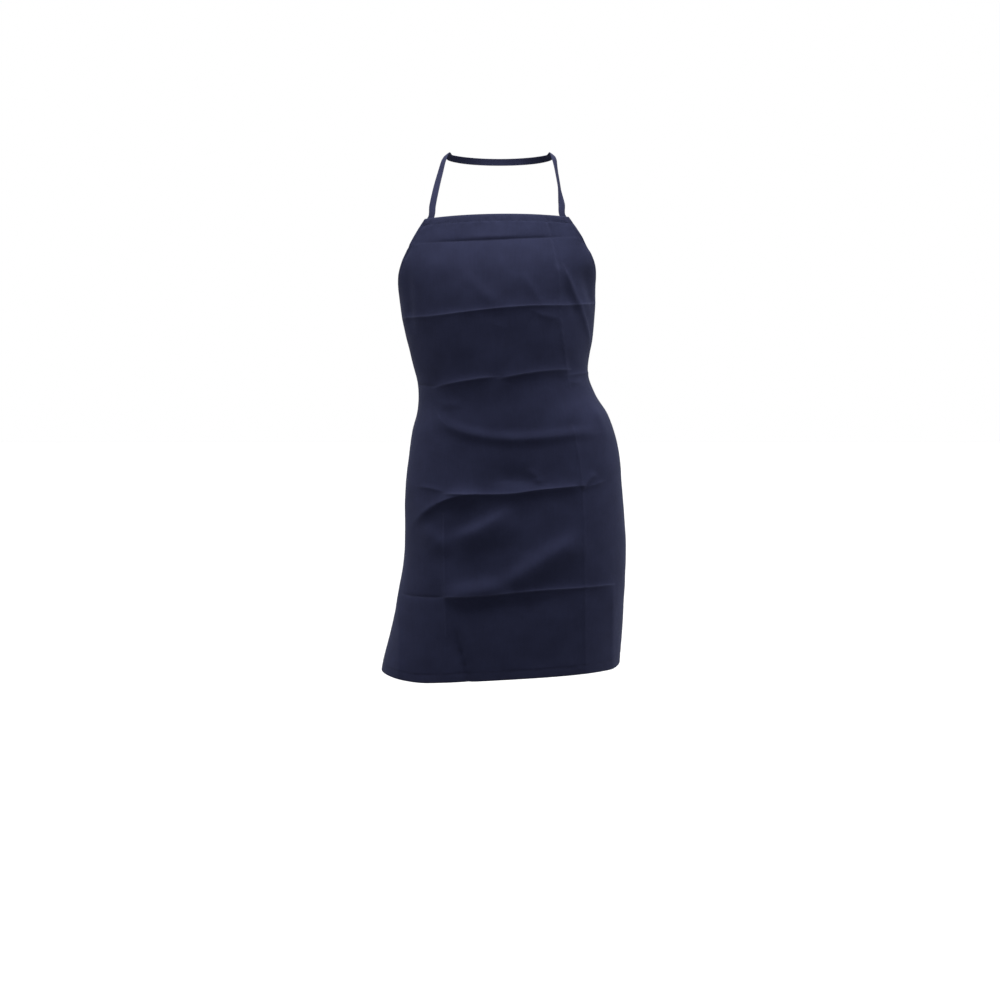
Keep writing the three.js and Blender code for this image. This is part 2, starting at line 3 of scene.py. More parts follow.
import bpy
import numpy as np
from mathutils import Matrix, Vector, noise


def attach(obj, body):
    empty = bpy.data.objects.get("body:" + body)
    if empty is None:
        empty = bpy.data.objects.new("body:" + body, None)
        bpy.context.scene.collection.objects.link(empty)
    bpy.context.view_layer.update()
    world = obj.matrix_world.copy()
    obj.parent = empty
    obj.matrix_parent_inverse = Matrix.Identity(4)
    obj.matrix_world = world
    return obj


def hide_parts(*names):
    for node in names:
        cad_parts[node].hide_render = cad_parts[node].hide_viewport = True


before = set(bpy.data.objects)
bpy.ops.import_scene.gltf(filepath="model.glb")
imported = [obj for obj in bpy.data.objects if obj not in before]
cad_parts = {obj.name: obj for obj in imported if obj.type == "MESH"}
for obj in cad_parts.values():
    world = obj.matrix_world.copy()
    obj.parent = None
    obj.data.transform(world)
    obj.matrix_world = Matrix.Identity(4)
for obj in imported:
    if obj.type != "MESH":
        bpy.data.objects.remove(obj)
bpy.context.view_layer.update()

# A cotton bib apron in its worn form. Metres, +Z up, the front faces -Y, the origin is at the nape.
# Left and right are the viewer's. A place on the cloth is given as it lies on the flat cut panel:
# across from the middle and down from the bib's edge.

MM = 0.001

# Cut sizes of the flat panel and its hems
APRON_LENGTH = 880 * MM
APRON_WIDTH = 700 * MM
BIB_WIDTH = 270 * MM
ARMHOLE_DEPTH = 300 * MM
BIB_HEM_WIDTH = 15 * MM
SIDE_HEM_WIDTH = 10 * MM
BOTTOM_HEM_WIDTH = 18 * MM
HALF_WIDTH = APRON_WIDTH / 2

# Walls. The cloth rolls round each hem, so the roll is as deep as the cloth, the hem and a gap.
CLOTH_WALL = 0.8 * MM
HEM_WALL = 1.15 * MM
HEM_GAP = 0.15 * MM
ROLL_RADIUS = (CLOTH_WALL + HEM_GAP + HEM_WALL) / 2
ROLL_DEGREES = (180, 150, 120, 90, 60, 30, 0)

# Flat tape of the neck strap and the waist ties: its size, the steps that its rings are spaced by, and
# how deep its middle lies where it is sewn behind the cloth
TAPE_WIDTH = 13 * MM
TAPE_WALL = 1.3 * MM
TAPE_STEP = 2.5 * MM
LOOP_STEP = 2 * MM
KNOT_STEP = 1.5 * MM
TAPE_SEAM_INSET = 1.8 * MM
TAPE_GAP = 0.2 * MM
TAPE_DEPTH = 2 * ROLL_RADIUS + TAPE_GAP + TAPE_WALL / 2

# The worn form, as in the frame: how far the bib hangs below the nape, and the round form it wraps
BIB_DROP = 118 * MM
SLACK_SHARE = 0.04
HANG = APRON_LENGTH * (1 - SLACK_SHARE)
CORNER_DROOP = 5 * MM
DROOP_REACH = 3 * BIB_HEM_WIDTH
NAPE_SETBACK = 78 * MM
TRUNK_HALF_WIDTH = 200 * MM
TRUNK_DEPTH = 130 * MM

# How far the hem's corners are drawn up, from where to where across and down, as shares of half the
# width and of the length
LEFT_CORNER_LIFT = 16 * MM
RIGHT_CORNER_LIFT = 12 * MM
LIFT_ACROSS = (0.48, 0.9)
LIFT_DOWN = (0.8, 1)

# Sizes and places of the strap, the waist ties, the knot and the bow
NECK_HALF_WIDTH = 99 * MM
NECK_SIDE_DEPTH = 90 * MM
STRAP_EDGE = 4 * MM
STRAP_FOOT = 13 * MM
TIE_EDGE = 5.5 * MM
TIE_OVERLAP = 9 * MM
TIE_BACK_DEPTH = 4.1 * MM
TIE_SAG = 1.5 * MM
TIE_CROSSING = 3 * MM
KNOT_WIDTH = 24 * MM
KNOT_HEIGHT = 20 * MM
KNOT_DEPTH = 12 * MM
KNOT_SINK = 0.6 * MM
BOW_LOOP_LENGTH = 95 * MM
BOW_LOOP_OPENING = 7 * MM
TAIL_LENGTH = 300 * MM
TAIL_TUCK = 1.5 * MM

# Folds: the height and the reach that their rows give shares of
FOLD_HEIGHT = 10 * MM
FOLD_REACH = 20 * MM

# The cloth's unevenness, as height, size of the bumps and seed, and how near the edges it dies out
UNEVENNESS = [(0.9 * MM, 95 * MM, 3.1), (0.35 * MM, 34 * MM, 7.7)]
CALM_REACH = 30 * MM
NOISE_GAIN = 1.6

# What a hem's seam does to the cloth: a groove along it, and slanted puckers beside it
GROOVE_DEPTH = 0.28 * MM
GROOVE_REACH = 1.3 * MM
PUCKER_HEIGHT = 0.3 * MM
PUCKER_REACH = 9 * MM
PUCKER_SIZE = 8 * MM
PUCKER_SLANT = 0.4
PUCKER_SEED = 11.3

# How far the paler pressed lines, which carry a painted highlight along the creases, and the worn edges
# reach
PRESSED_HIGHLIGHT_REACH = 1.6 * MM
WORN_REACH = 4 * MM

# Stitches: their pitch and size, their sides and rings, how far a seam's line lies inside a hem's
# edge, and how far its stitches lie off the cloth in front and off the hem behind
STITCH_PITCH = 2.9 * MM
STITCH_LENGTH = 2.3 * MM
STITCH_WIDTH = 0.55 * MM
STITCH_HEIGHT = 0.34 * MM
STITCH_SIDES = 6
STITCH_RINGS = 4
SEAM_INSET = 1.5 * MM
FRONT_STITCH_LIFT = 0.04 * MM
BACK_STITCH_LIFT = 0.05 * MM

# The round form at heights down the apron: shares of the hang, of TRUNK_HALF_WIDTH for lean, left
# and right, and of TRUNK_DEPTH for front and back. square is the outline's exponent, and rise is how
# steeply a level line of the cut climbs to the right.
TRUNK_COLUMNS = ("down", "lean", "left", "right", "front", "back", "square", "rise")
TRUNK = np.array([
    (-0.06, -0.025, 0.9, 0.9, 0.72, 0.77, 2.2, 0.012),
    (0, -0.025, 0.93, 0.93, 0.77, 0.77, 2.3, 0.014),
    (0.06, -0.025, 0.96, 0.95, 0.86, 0.81, 2.3, 0.03),
    (0.11, -0.025, 0.96, 0.96, 0.94, 0.85, 2.3, 0.045),
    (0.16, -0.02, 0.92, 0.92, 0.98, 0.86, 2.3, 0.058),
    (0.21, -0.01, 0.895, 0.905, 0.982, 0.86, 2.3, 0.07),
    (0.28, 0.01, 0.845, 0.86, 0.96, 0.85, 2.3, 0.08),
    (0.35, 0.03, 0.795, 0.8, 0.936, 0.83, 2.2, 0.087),
    (0.4, 0.065, 0.83, 0.83, 0.928, 0.91, 2.2, 0.085),
    (0.45, 0.1, 0.92, 0.92, 0.93, 1, 2.3, 0.078),
    (0.52, 0.13, 0.99, 0.985, 0.938, 1.09, 2.4, 0.07),
    (0.6, 0.15, 1.04, 1, 0.945, 1.15, 2.5, 0.066),
    (0.72, 0.16, 1.055, 1.025, 0.965, 1.19, 2.6, 0.076),
    (0.82, 0.17, 1.135, 1.015, 0.985, 1.21, 2.6, 0.084),
    (0.91, 0.175, 1.21, 0.985, 1.0, 1.23, 2.6, 0.072),
    (1, 0.18, 1.295, 0.955, 1.01, 1.25, 2.6, 0.06),
    (1.06, 0.18, 1.3, 0.95, 1.015, 1.25, 2.6, 0.058),
])

# The armhole edge: shares of its depth, and of what the skirt is wider than the bib
ARMHOLE_DOWN = (0, 0.33, 0.6, 0.8, 0.93, 1)
ARMHOLE_OUT = (0, 0.335, 0.57, 0.74, 0.89, 1)

# Folds in the cloth, a row of FOLD_COLUMNS for each. A route's places are (share of half the width,
# share of the length). lift is a share of FOLD_HEIGHT, outward when above 0. above and below are the
# reach on each side, as shares of FOLD_REACH. fade is the share of the route over which each end dies
# out. The next column is how much the line is paled by the iron and lit by a painted highlight along
# the crease. A crease is sharp along its line, a soft fold is round.
FOLD_COLUMNS = ("kind", "lift", "above", "below", "fade", "pressed", "route")
FOLD_ROWS = [
    # The bib crease: a sharp valley under the top hem
    ("crease", -0.2, 0.2, 0.7, 0.3, 0.4,
     [(-0.45, 0.055), (-0.3, 0.0555), (-0.14, 0.0565), (0, 0.0565), (0.12, 0.055), (0.27, 0.0525),
      (0.43, 0.05)]),
    ("soft", 0.05, 0.25, 0.25, 0.3, 0, [(-0.17, 0.049), (0.02, 0.049), (0.14, 0.048)]),
    # The chest crease
    ("crease", 0.18, 0.3, 0.34, 0.08, 0.9,
     [(-0.66, 0.203), (-0.5, 0.206), (-0.36, 0.2085), (-0.18, 0.206), (0.025, 0.203), (0.2, 0.203),
      (0.34, 0.205), (0.68, 0.2)]),
    ("soft", 0.08, 0.7, 0.8, 0.3, 0, [(-0.12, 0.203), (0.025, 0.2), (0.2, 0.2), (0.36, 0.203)]),
    # The waist crease, in two lengths that pass each other
    ("crease", -0.18, 0.18, 0.25, 0.3, 0.5, [(-0.6, 0.349), (-0.5, 0.352), (-0.37, 0.358)]),
    ("crease", 0.28, 0.4, 0.5, 0.25, 0.8,
     [(-0.4, 0.3585), (-0.25, 0.352), (-0.14, 0.349), (-0.02, 0.3475)]),
    ("crease", 0.34, 0.6, 0.4, 0.18, 0.8, [(-0.03, 0.353), (0.11, 0.347), (0.22, 0.3445), (0.39, 0.345)]),
    ("crease", 0.2, 0.25, 0.25, 0.3, 0.4, [(0.34, 0.357), (0.48, 0.3555), (0.66, 0.355)]),
    ("crease", 0.14, 0.2, 0.2, 0.4, 0.3, [(0.33, 0.375), (0.39, 0.373), (0.46, 0.371)]),
    # The belly fold
    ("soft", 0.3, 0.5, 0.55, 0.2, 0.25,
     [(-0.41, 0.398), (-0.357, 0.433), (-0.297, 0.45), (-0.186, 0.468), (-0.026, 0.481), (0.129, 0.484),
      (0.326, 0.481), (0.53, 0.481)]),
    ("soft", 0.12, 0.35, 0.35, 0.4, 0, [(-0.39, 0.397), (-0.31, 0.399), (-0.22, 0.401)]),
    # The lap fold, the wedge that falls from its left end, the hollow above it and its short drags
    ("crease", 0.48, 0.5, 0.35, 0.12, 0.5,
     [(-0.39, 0.5905), (-0.26, 0.5945), (-0.134, 0.598), (-0.017, 0.5995), (0.109, 0.5955), (0.229, 0.594),
      (0.375, 0.5925)]),
    ("crease", 0.75, 0.8, 0.45, 0.3, 0,
     [(-0.6, 0.66), (-0.51, 0.636), (-0.435, 0.617), (-0.35, 0.603), (-0.24, 0.5965), (-0.15, 0.5945)]),
    ("soft", -0.34, 1.2, 0.65, 0.42, 0, [(-0.17, 0.565), (0.01, 0.569), (0.15, 0.58)]),
    ("crease", 0.28, 0.28, 0.28, 0.35, 0.1, [(0.068, 0.545), (0.106, 0.565), (0.131, 0.589)]),
    ("crease", 0.3, 0.3, 0.3, 0.25, 0.3, [(0.342, 0.603), (0.383, 0.584), (0.437, 0.566)]),
    ("crease", 0.16, 0.25, 0.25, 0.35, 0.2, [(0.36, 0.599), (0.43, 0.592), (0.5, 0.585)]),
    ("crease", 0.2, 0.3, 0.25, 0.35, 0.2, [(-0.56, 0.572), (-0.449, 0.578), (-0.36, 0.589)]),
    # The swells below the lap fold
    ("soft", 0.5, 0.8, 1.2, 0.42, 0, [(-0.54, 0.652), (-0.47, 0.672), (-0.41, 0.7), (-0.385, 0.735)]),
    ("soft", 0.75, 0.75, 1.7, 0.4, 0, [(-0.4, 0.699), (-0.237, 0.68), (-0.149, 0.664), (0.02, 0.632)]),
    # The thigh fold, from the right hip down to the knee crease
    ("soft", 0.85, 1.0, 1.6, 0.28, 0,
     [(0.375, 0.697), (0.223, 0.731), (0.091, 0.758), (-0.02, 0.785), (-0.12, 0.806)]),
    ("soft", 0.65, 0.9, 0.9, 0.35, 0, [(-0.42, 0.808), (-0.209, 0.803), (-0.02, 0.797)]),
    # The knee crease
    ("crease", -0.16, 0.14, 0.3, 0.2, 0.7, [(-0.68, 0.804), (-0.5, 0.809), (-0.38, 0.812)]),
    ("crease", 0.3, 0.5, 0.2, 0.1, 0.9, [(-0.395, 0.811), (-0.197, 0.8135), (-0.02, 0.812)]),
    ("crease", 0.2, 0.25, 0.28, 0.12, 0.9,
     [(-0.07, 0.812), (0.166, 0.812), (0.323, 0.8145), (0.54, 0.817)]),
    ("soft", -0.15, 0.6, 1.2, 0.3, 0, [(-0.38, 0.832), (-0.05, 0.84), (0.35, 0.83)]),
    # The left upright crease
    ("crease", 0.12, 0.25, 0.2, 0.2, 0.35,
     [(-0.386, 0.63), (-0.386, 0.731), (-0.389, 0.811), (-0.386, 0.9)]),
    # The right upright crease in the bib
    ("crease", -0.14, 0.14, 0.2, 0.12, 0.4,
     [(0.25, -0.005), (0.273, 0.031), (0.292, 0.06), (0.322, 0.125)]),
    ("crease", 0.12, 0.25, 0.2, 0.2, 0.3, [(0.322, 0.11), (0.331, 0.152), (0.332, 0.201), (0.33, 0.235)]),
    ("crease", 0.16, 0.25, 0.25, 0.2, 0.35,
     [(0.325, 0.215), (0.335, 0.281), (0.353, 0.341), (0.36, 0.385)]),
    # The right upright crease in the skirt
    ("crease", 0.16, 0.6, 0.25, 0.1, 0.3,
     [(0.323, 0.46), (0.343, 0.527), (0.354, 0.603), (0.355, 0.8), (0.355, 1.03)]),
    # The armhole drag, with a hollow on each side of it
    ("crease", 0.4, 0.3, 0.45, 0.2, 0.4,
     [(0.345, 0.11), (0.399, 0.159), (0.443, 0.198), (0.488, 0.235), (0.526, 0.266), (0.58, 0.3)]),
    ("soft", -0.4, 0.8, 0.8, 0.35, 0, [(0.47, 0.115), (0.54, 0.17), (0.61, 0.225)]),
    ("soft", -0.18, 0.5, 0.5, 0.35, 0, [(0.36, 0.16), (0.4, 0.2), (0.44, 0.24)]),
    # The hollow by the left armhole
    ("soft", -0.3, 0.7, 0.6, 0.35, 0, [(-0.497, 0.09), (-0.505, 0.15), (-0.515, 0.25)]),
    # Soft streaks across the chest
    ("soft", 0.12, 0.5, 0.6, 0.4, 0, [(-0.2, 0.11), (-0.074, 0.17), (0.03, 0.205)]),
    ("soft", 0.12, 0.4, 0.5, 0.4, 0, [(0.11, 0.12), (0.189, 0.174), (0.235, 0.212)]),
    # Short drags under the chest crease
    ("crease", 0.16, 0.4, 0.4, 0.4, 0.1, [(0.155, 0.206), (0.236, 0.226), (0.34, 0.232)]),
    ("crease", 0.07, 0.25, 0.25, 0.4, 0.1, [(-0.065, 0.227), (0, 0.239), (0.055, 0.25)]),
    ("soft", 0.1, 0.8, 0.6, 0.4, 0, [(0.347, 0.27), (0.4, 0.32), (0.514, 0.337)]),
    # The soft drag above the right hip
    ("soft", 0.25, 0.6, 0.6, 0.4, 0, [(0.45, 0.41), (0.51, 0.458), (0.535, 0.51)]),
    # Where the skirt turns to the sides
    ("crease", 0.3, 0.6, 1.1, 0.2, 0.1, [(-0.75, 0.76), (-0.68, 0.86), (-0.65, 1.04)]),
    ("crease", 0.3, 1.1, 0.6, 0.2, 0.1, [(0.517, 0.79), (0.526, 0.893), (0.53, 1.04)]),
    # The hem valley
    ("crease", -0.8, 0.25, 0.8, 0.35, 0, [(-0.335, 0.85), (-0.311, 0.916), (-0.277, 0.974), (-0.25, 1.1)]),
    # Puckers at the armholes
    ("crease", -0.25, 0.2, 0.2, 0.4, 0, [(-0.5, 0.048), (-0.49, 0.062), (-0.53, 0.088)]),
    ("crease", -0.25, 0.2, 0.2, 0.4, 0, [(0.45, 0.048), (0.5, 0.066), (0.54, 0.09)]),
]
FOLDS = [dict(zip(FOLD_COLUMNS, row)) for row in FOLD_ROWS]

# Where the grid's rows and columns lie closer together, as (place, how much closer, over what width)
DENSE_ROWS = [(0.055, 2.5, 0.01), (0.205, 3, 0.012), (0.351, 2.8, 0.014), (0.593, 3.2, 0.02),
              (0.63, 1.2, 0.03), (0.813, 3, 0.012)]
DENSE_COLUMNS = [(-0.387, 1.5, 0.03), (0.34, 2, 0.05), (0.53, 0.8, 0.04), (-0.68, 0.8, 0.05)]
ROW_COUNT = 300
COLUMN_COUNT = 158

# Steps of the lines that places are read from: for each place that a fold's route is given by, for
# each point of a smooth route, round the form's outline, along a grid line and down the flat panel
ROUTE_STEPS = 4
FINE_STEPS = 8
OUTLINE_STEPS = 1440
SPREAD_STEPS = 4000

# What counts as no length, and how many times farther a place past a fold's end counts
TINY = 1e-10
FAR_AWAY = 1000


# Shape of the cloth

def smooth_curve(places, values, slopes, at):
    """Values at places between the given ones, on a smooth curve with the given slopes."""
    i = np.clip(np.searchsorted(places, at) - 1, 0, len(places) - 2)
    step = places[i + 1] - places[i]
    t = np.clip((at - places[i]) / step, 0, 1)
    s = 1 - t
    ends = values[..., i] * (1 + 2 * t) * s * s + values[..., i + 1] * (3 - 2 * t) * t * t
    return ends + step * t * s * (slopes[..., i] * s - slopes[..., i + 1] * t)


def read_column(name, down):
    """A smooth curve through one column of the trunk's table."""
    places = TRUNK[:, 0]
    values = TRUNK[:, TRUNK_COLUMNS.index(name)]
    slopes = np.empty_like(values)
    slopes[1:-1] = (values[2:] - values[:-2]) / (places[2:] - places[:-2])
    slopes[0] = (values[1] - values[0]) / (places[1] - places[0])
    slopes[-1] = (values[-1] - values[-2]) / (places[-1] - places[-2])
    return smooth_curve(places, values, slopes, down)


def half_width(down):
    """Half the width of the flat panel at shares of its length."""
    share = np.clip(np.asarray(down) * APRON_LENGTH / ARMHOLE_DEPTH, 0, 1)
    out = np.interp(share, ARMHOLE_DOWN, ARMHOLE_OUT)
    return BIB_WIDTH / 2 + out * (HALF_WIDTH - BIB_WIDTH / 2)


OUTLINE_ANGLES = np.radians(np.linspace(-180, 180, OUTLINE_STEPS + 1))


def outline_at(down):
    """The round form's outline at one height: x, y and the way along it from the middle of the front."""
    lean, left, right = (read_column(name, down) * TRUNK_HALF_WIDTH for name in ("lean", "left", "right"))
    front, back = (read_column(name, down) * TRUNK_DEPTH for name in ("front", "back"))
    square = read_column("square", down)
    sine, cosine = np.sin(OUTLINE_ANGLES), np.cos(OUTLINE_ANGLES)
    out = np.abs(sine) / np.where(OUTLINE_ANGLES < 0, left, right)
    ahead = np.abs(cosine) / np.where(cosine > 0, front, back)
    radius = (out**square + ahead**square) ** (-1 / square)
    x, y = radius * sine, -radius * cosine
    walked = np.concatenate([[0], np.cumsum(np.hypot(np.diff(x), np.diff(y)))])
    return x, y, walked - walked[len(walked) // 2], lean


def smooth_rise(value, start, end):
    """0 before start and 1 past end, with a smooth rise between them."""
    share = np.clip((value - start) / (end - start), 0, 1)
    return share * share * (3 - 2 * share)


def round_form(across, down):
    """Points of the round form. across has a row of places for each entry of down."""
    points = np.empty(across.shape + (3,))
    for i, share in enumerate(down):
        x, y, walked, lean = outline_at(share)
        at_x = np.interp(across[i], walked, x)
        at_bib = math.exp(-max(share, 0) * APRON_LENGTH / DROOP_REACH)
        droop = CORNER_DROOP * at_bib * (2 * across[i] / BIB_WIDTH) ** 2
        points[i, :, 0] = at_x + lean
        points[i, :, 1] = np.interp(across[i], walked, y) - NAPE_SETBACK
        past_turn = smooth_rise(np.abs(across[i]) / HALF_WIDTH, *LIFT_ACROSS)
        lift = np.where(across[i] < 0, LEFT_CORNER_LIFT, RIGHT_CORNER_LIFT)
        drawn_up = past_turn * smooth_rise(share, *LIFT_DOWN) * lift
        points[i, :, 2] = read_column("rise", share) * at_x + drawn_up - droop - BIB_DROP - HANG * share
    return points


def walked_along(points):
    """How far it is along a line of points to each of them."""
    return np.concatenate([[0], np.cumsum(np.linalg.norm(np.diff(points, axis=0), axis=1))])


def smooth_route(places, count):
    """Places on a smooth curve through the given ones, evenly spaced, with their shares of its length."""
    places = np.asarray(places, float)
    chord = walked_along(places)
    slopes = np.gradient(places, chord, axis=0)
    fine = np.linspace(0, chord[-1], FINE_STEPS * count)
    curve = smooth_curve(chord, places.T, slopes.T, fine).T
    walked = walked_along(curve)
    even = np.linspace(0, walked[-1], count)
    points = np.stack([np.interp(even, walked, curve[:, k]) for k in range(curve.shape[1])], axis=1)
    return points, np.interp(even, walked, fine) / chord[-1]


def fold_shape(fold, across, down):
    """How near each place is to a fold's line, from 0 to 1, and its distance from the line."""
    places = [(x * HALF_WIDTH, y * APRON_LENGTH) for x, y in fold["route"]]
    route = smooth_route(places, ROUTE_STEPS * len(places))[0]
    lengths = np.linalg.norm(np.diff(route, axis=0), axis=1)
    walked = walked_along(route)
    facing = 1 if route[-1, 0] >= route[0, 0] else -1
    best = np.full(across.shape, np.inf)
    below = np.zeros(across.shape)
    along = np.zeros(across.shape)
    for k, length in enumerate(lengths):
        way = (route[k + 1] - route[k]) / length
        px, py = across - route[k, 0], down - route[k, 1]
        t = px * way[0] + py * way[1]
        low = -np.inf if k == 0 else 0
        high = np.inf if k == len(lengths) - 1 else length
        held = np.clip(t, low, high)
        far = np.hypot(px - held * way[0], py - held * way[1])
        nearer = far < best
        best = np.where(nearer, far, best)
        below = np.where(nearer, (way[0] * py - way[1] * px) * facing, below)
        along = np.where(nearer, (walked[k] + held) / walked[-1], along)
    reach = np.where(below > 0, fold["below"], fold["above"]) * FOLD_REACH
    far = best / reach
    shape = np.exp(-far * far) if fold["kind"] == "soft" else np.exp(-far)
    fade = np.clip(np.minimum(along, 1 - along) / fold["fade"], 0, 1)
    return shape * fade * fade * (3 - 2 * fade), best * np.where(fade > 0, 1, FAR_AWAY)


def waver(across, down, size, seed):
    """Gentle noise over the flat cloth, about -1 to 1, with bumps of a given size."""
    flat = np.stack([across.ravel() / size, down.ravel() / size], axis=1)
    values = [noise.noise(Vector((x, y, seed))) for x, y in flat]
    return np.array(values).reshape(across.shape) * NOISE_GAIN


def lift_of(across, share):
    """How far the folds, the seams and the cloth's unevenness lift it off the round form."""
    down = share * APRON_LENGTH
    lift = np.zeros(across.shape)
    for fold in FOLDS:
        lift += fold["lift"] * FOLD_HEIGHT * fold_shape(fold, across, down)[0]
    side_inset = half_width(share) - np.abs(across)
    top_inset, bottom_inset = down, APRON_LENGTH - down
    nearest = np.minimum(side_inset, np.minimum(top_inset, bottom_inset))
    calm = np.clip(nearest / CALM_REACH, 0, 1)
    for height, size, seed in UNEVENNESS:
        lift += height * waver(across, down, size, seed) * calm
    hems = ((side_inset, SIDE_HEM_WIDTH), (top_inset, BIB_HEM_WIDTH), (bottom_inset, BOTTOM_HEM_WIDTH))
    for inset, hem in hems:
        off_seam = (inset - (hem - SEAM_INSET)) / GROOVE_REACH
        lift -= GROOVE_DEPTH * np.exp(-off_seam * off_seam)
        beside = np.exp(-((inset - hem) / PUCKER_REACH) ** 2)
        slanted = (across + PUCKER_SLANT * down, down - PUCKER_SLANT * across)
        lift += PUCKER_HEIGHT * waver(*slanted, PUCKER_SIZE, PUCKER_SEED) * beside
    return lift


# How far on each side of a place the cloth's slope is measured
PROBE = 1.5 * MM


def form_normal(across, share):
    """Outward normals of the round form."""
    sideways = round_form(across + PROBE, share) - round_form(across - PROBE, share)
    step = PROBE / APRON_LENGTH
    downward = round_form(across, share + step) - round_form(across, share - step)
    outward = np.cross(downward, sideways)
    return outward / np.linalg.norm(outward, axis=-1, keepdims=True)


def cloth(across, share):
    """Points of the cloth's outer face. across has a row of places for each entry of share."""
    lift = lift_of(across, np.broadcast_to(share[:, None], across.shape))
    return round_form(across, share) + lift[..., None] * form_normal(across, share)


def cloth_at(across, share):
    """Points and outward normals of the cloth at single places."""
    across = np.atleast_1d(np.asarray(across, float))[:, None]
    share = np.broadcast_to(np.atleast_1d(np.asarray(share, float)), across.shape[:1])
    step = PROBE / APRON_LENGTH
    sideways = cloth(across + PROBE, share) - cloth(across - PROBE, share)
    downward = cloth(across, share + step) - cloth(across, share - step)
    outward = np.cross(downward, sideways)[:, 0]
    return cloth(across, share)[:, 0], outward / np.linalg.norm(outward, axis=-1, keepdims=True)


# Meshes

def add_object(name, data):
    """An object in the scene that shows some mesh, lamp or camera."""
    added = bpy.data.objects.new(name, data)
    bpy.context.scene.collection.objects.link(added)
    return added


def make_piece(name, points, faces, uvs, material, numbers):
    """A mesh object with smooth faces, a UV for each point and named numbers on its points."""
    mesh = bpy.data.meshes.new(name)
    mesh.from_pydata([tuple(p) for p in points], [], faces)
    mesh.polygons.foreach_set("use_smooth", [True] * len(mesh.polygons))
    layer = mesh.uv_layers.new(name="flat_cut")
    corners = np.empty(len(mesh.loops), int)
    mesh.loops.foreach_get("vertex_index", corners)
    layer.data.foreach_set("uv", np.asarray(uvs, float)[corners].ravel())
    for key, values in numbers.items():
        attribute = mesh.attributes.new(key, "FLOAT", "POINT")
        attribute.data.foreach_set("value", np.asarray(values, float).ravel())
    mesh.materials.append(material)
    mesh.update()
    return add_object(name, mesh)


def grid_normals(points, otherwise):
    """Outward normals of a grid of points whose rows run down and whose columns run to the right.
    otherwise has the normals for places where the grid lies folded on itself."""
    sideways = np.gradient(points, axis=1)
    downward = np.gradient(points, axis=0)
    outward = np.cross(downward, sideways)
    length = np.linalg.norm(outward, axis=-1, keepdims=True)
    return np.where(length > TINY, outward / np.maximum(length, TINY), otherwise)


def shell(name, outer, normals, wall, uvs, material, numbers):
    """A closed wall behind a grid of outer points, with its rim."""
    rows, columns = outer.shape[:2]
    inner = outer - wall * grid_normals(outer, normals)
    points = np.concatenate([outer.reshape(-1, 3), inner.reshape(-1, 3)])
    i, j = np.meshgrid(np.arange(rows - 1), np.arange(columns - 1), indexing="ij")
    a = (i * columns + j).ravel()
    quads = np.stack([a, a + columns, a + columns + 1, a + 1], axis=1)
    inside = rows * columns
    faces = np.concatenate([quads, inside + quads[:, ::-1]]).tolist()
    down_left = [k * columns for k in range(rows - 1)]
    along_bottom = [(rows - 1) * columns + k for k in range(columns - 1)]
    up_right = [k * columns + columns - 1 for k in range(rows - 1, 0, -1)]
    along_top = list(range(columns - 1, 0, -1))
    rim = down_left + along_bottom + up_right + along_top
    for p, q in zip(rim, rim[1:] + rim[:1]):
        faces.append((q, p, inside + p, inside + q))
    both = {key: np.tile(values.ravel(), 2) for key, values in numbers.items()}
    return make_piece(name, points, faces, np.tile(uvs.reshape(-1, 2), (2, 1)), material, both)


def spread(count, dense, low, high):
    """Places from low to high, closer together near the dense ones."""
    fine = np.linspace(low, high, SPREAD_STEPS)
    weight = np.ones_like(fine)
    for place, closer, width in dense:
        weight += closer * np.exp(-(((fine - place) / width) ** 2))
    walked = np.concatenate([[0], np.cumsum((weight[1:] + weight[:-1]) / 2)])
    return np.interp(np.linspace(0, walked[-1], count), walked, fine)


# A hem's grid lines: shares of the way from the roll to the seam, and steps past the seam
SHARES_TO_SEAM = (0.33, 0.62, 0.82)
STEPS_PAST_SEAM = (0, 1.1 * MM, 2.6 * MM, 4.6 * MM)


def hem_insets(hem):
    """Insets and depths of a hem's grid lines: the roll from behind to the front, then the flat hem."""
    roll = []
    for degree in ROLL_DEGREES:
        angle = math.radians(degree)
        roll.append((ROLL_RADIUS * (1 - math.sin(angle)), ROLL_RADIUS * (1 - math.cos(angle))))
    seam = hem - SEAM_INSET
    flat = [(ROLL_RADIUS + (seam - ROLL_RADIUS) * share, 0) for share in SHARES_TO_SEAM]
    past = [(seam + step, 0) for step in STEPS_PAST_SEAM]
    return np.array(roll + flat + past)


def panel_grid():
    """The flat places of the panel's grid lines, with how deep the rolls at the edges lie."""
    top = hem_insets(BIB_HEM_WIDTH)
    bottom = hem_insets(BOTTOM_HEM_WIDTH)[::-1]
    side = hem_insets(SIDE_HEM_WIDTH)
    first, last = top[-1, 0] / APRON_LENGTH, 1 - bottom[0, 0] / APRON_LENGTH
    middle = spread(ROW_COUNT - len(top) - len(bottom) + 2, DENSE_ROWS, first, last)[1:-1]
    shares = np.concatenate([top[:, 0] / APRON_LENGTH, middle, 1 - bottom[:, 0] / APRON_LENGTH])
    row_depth = np.concatenate([top[:, 1], np.zeros(len(middle)), bottom[:, 1]])
    inner = spread(COLUMN_COUNT - 2 * len(side) + 2, DENSE_COLUMNS, -1, 1)[1:-1]
    edge = half_width(shares)[:, None]
    left = side[:, 0]
    inside = (edge - left[-1]) * inner[None, :]
    across = np.concatenate([left - edge, inside, (edge - left)[:, ::-1]], axis=1)
    column_depth = np.concatenate([side[:, 1], np.zeros(len(inner)), side[::-1, 1]])
    depth = np.maximum(row_depth[:, None], column_depth[None, :])
    return across, shares, depth


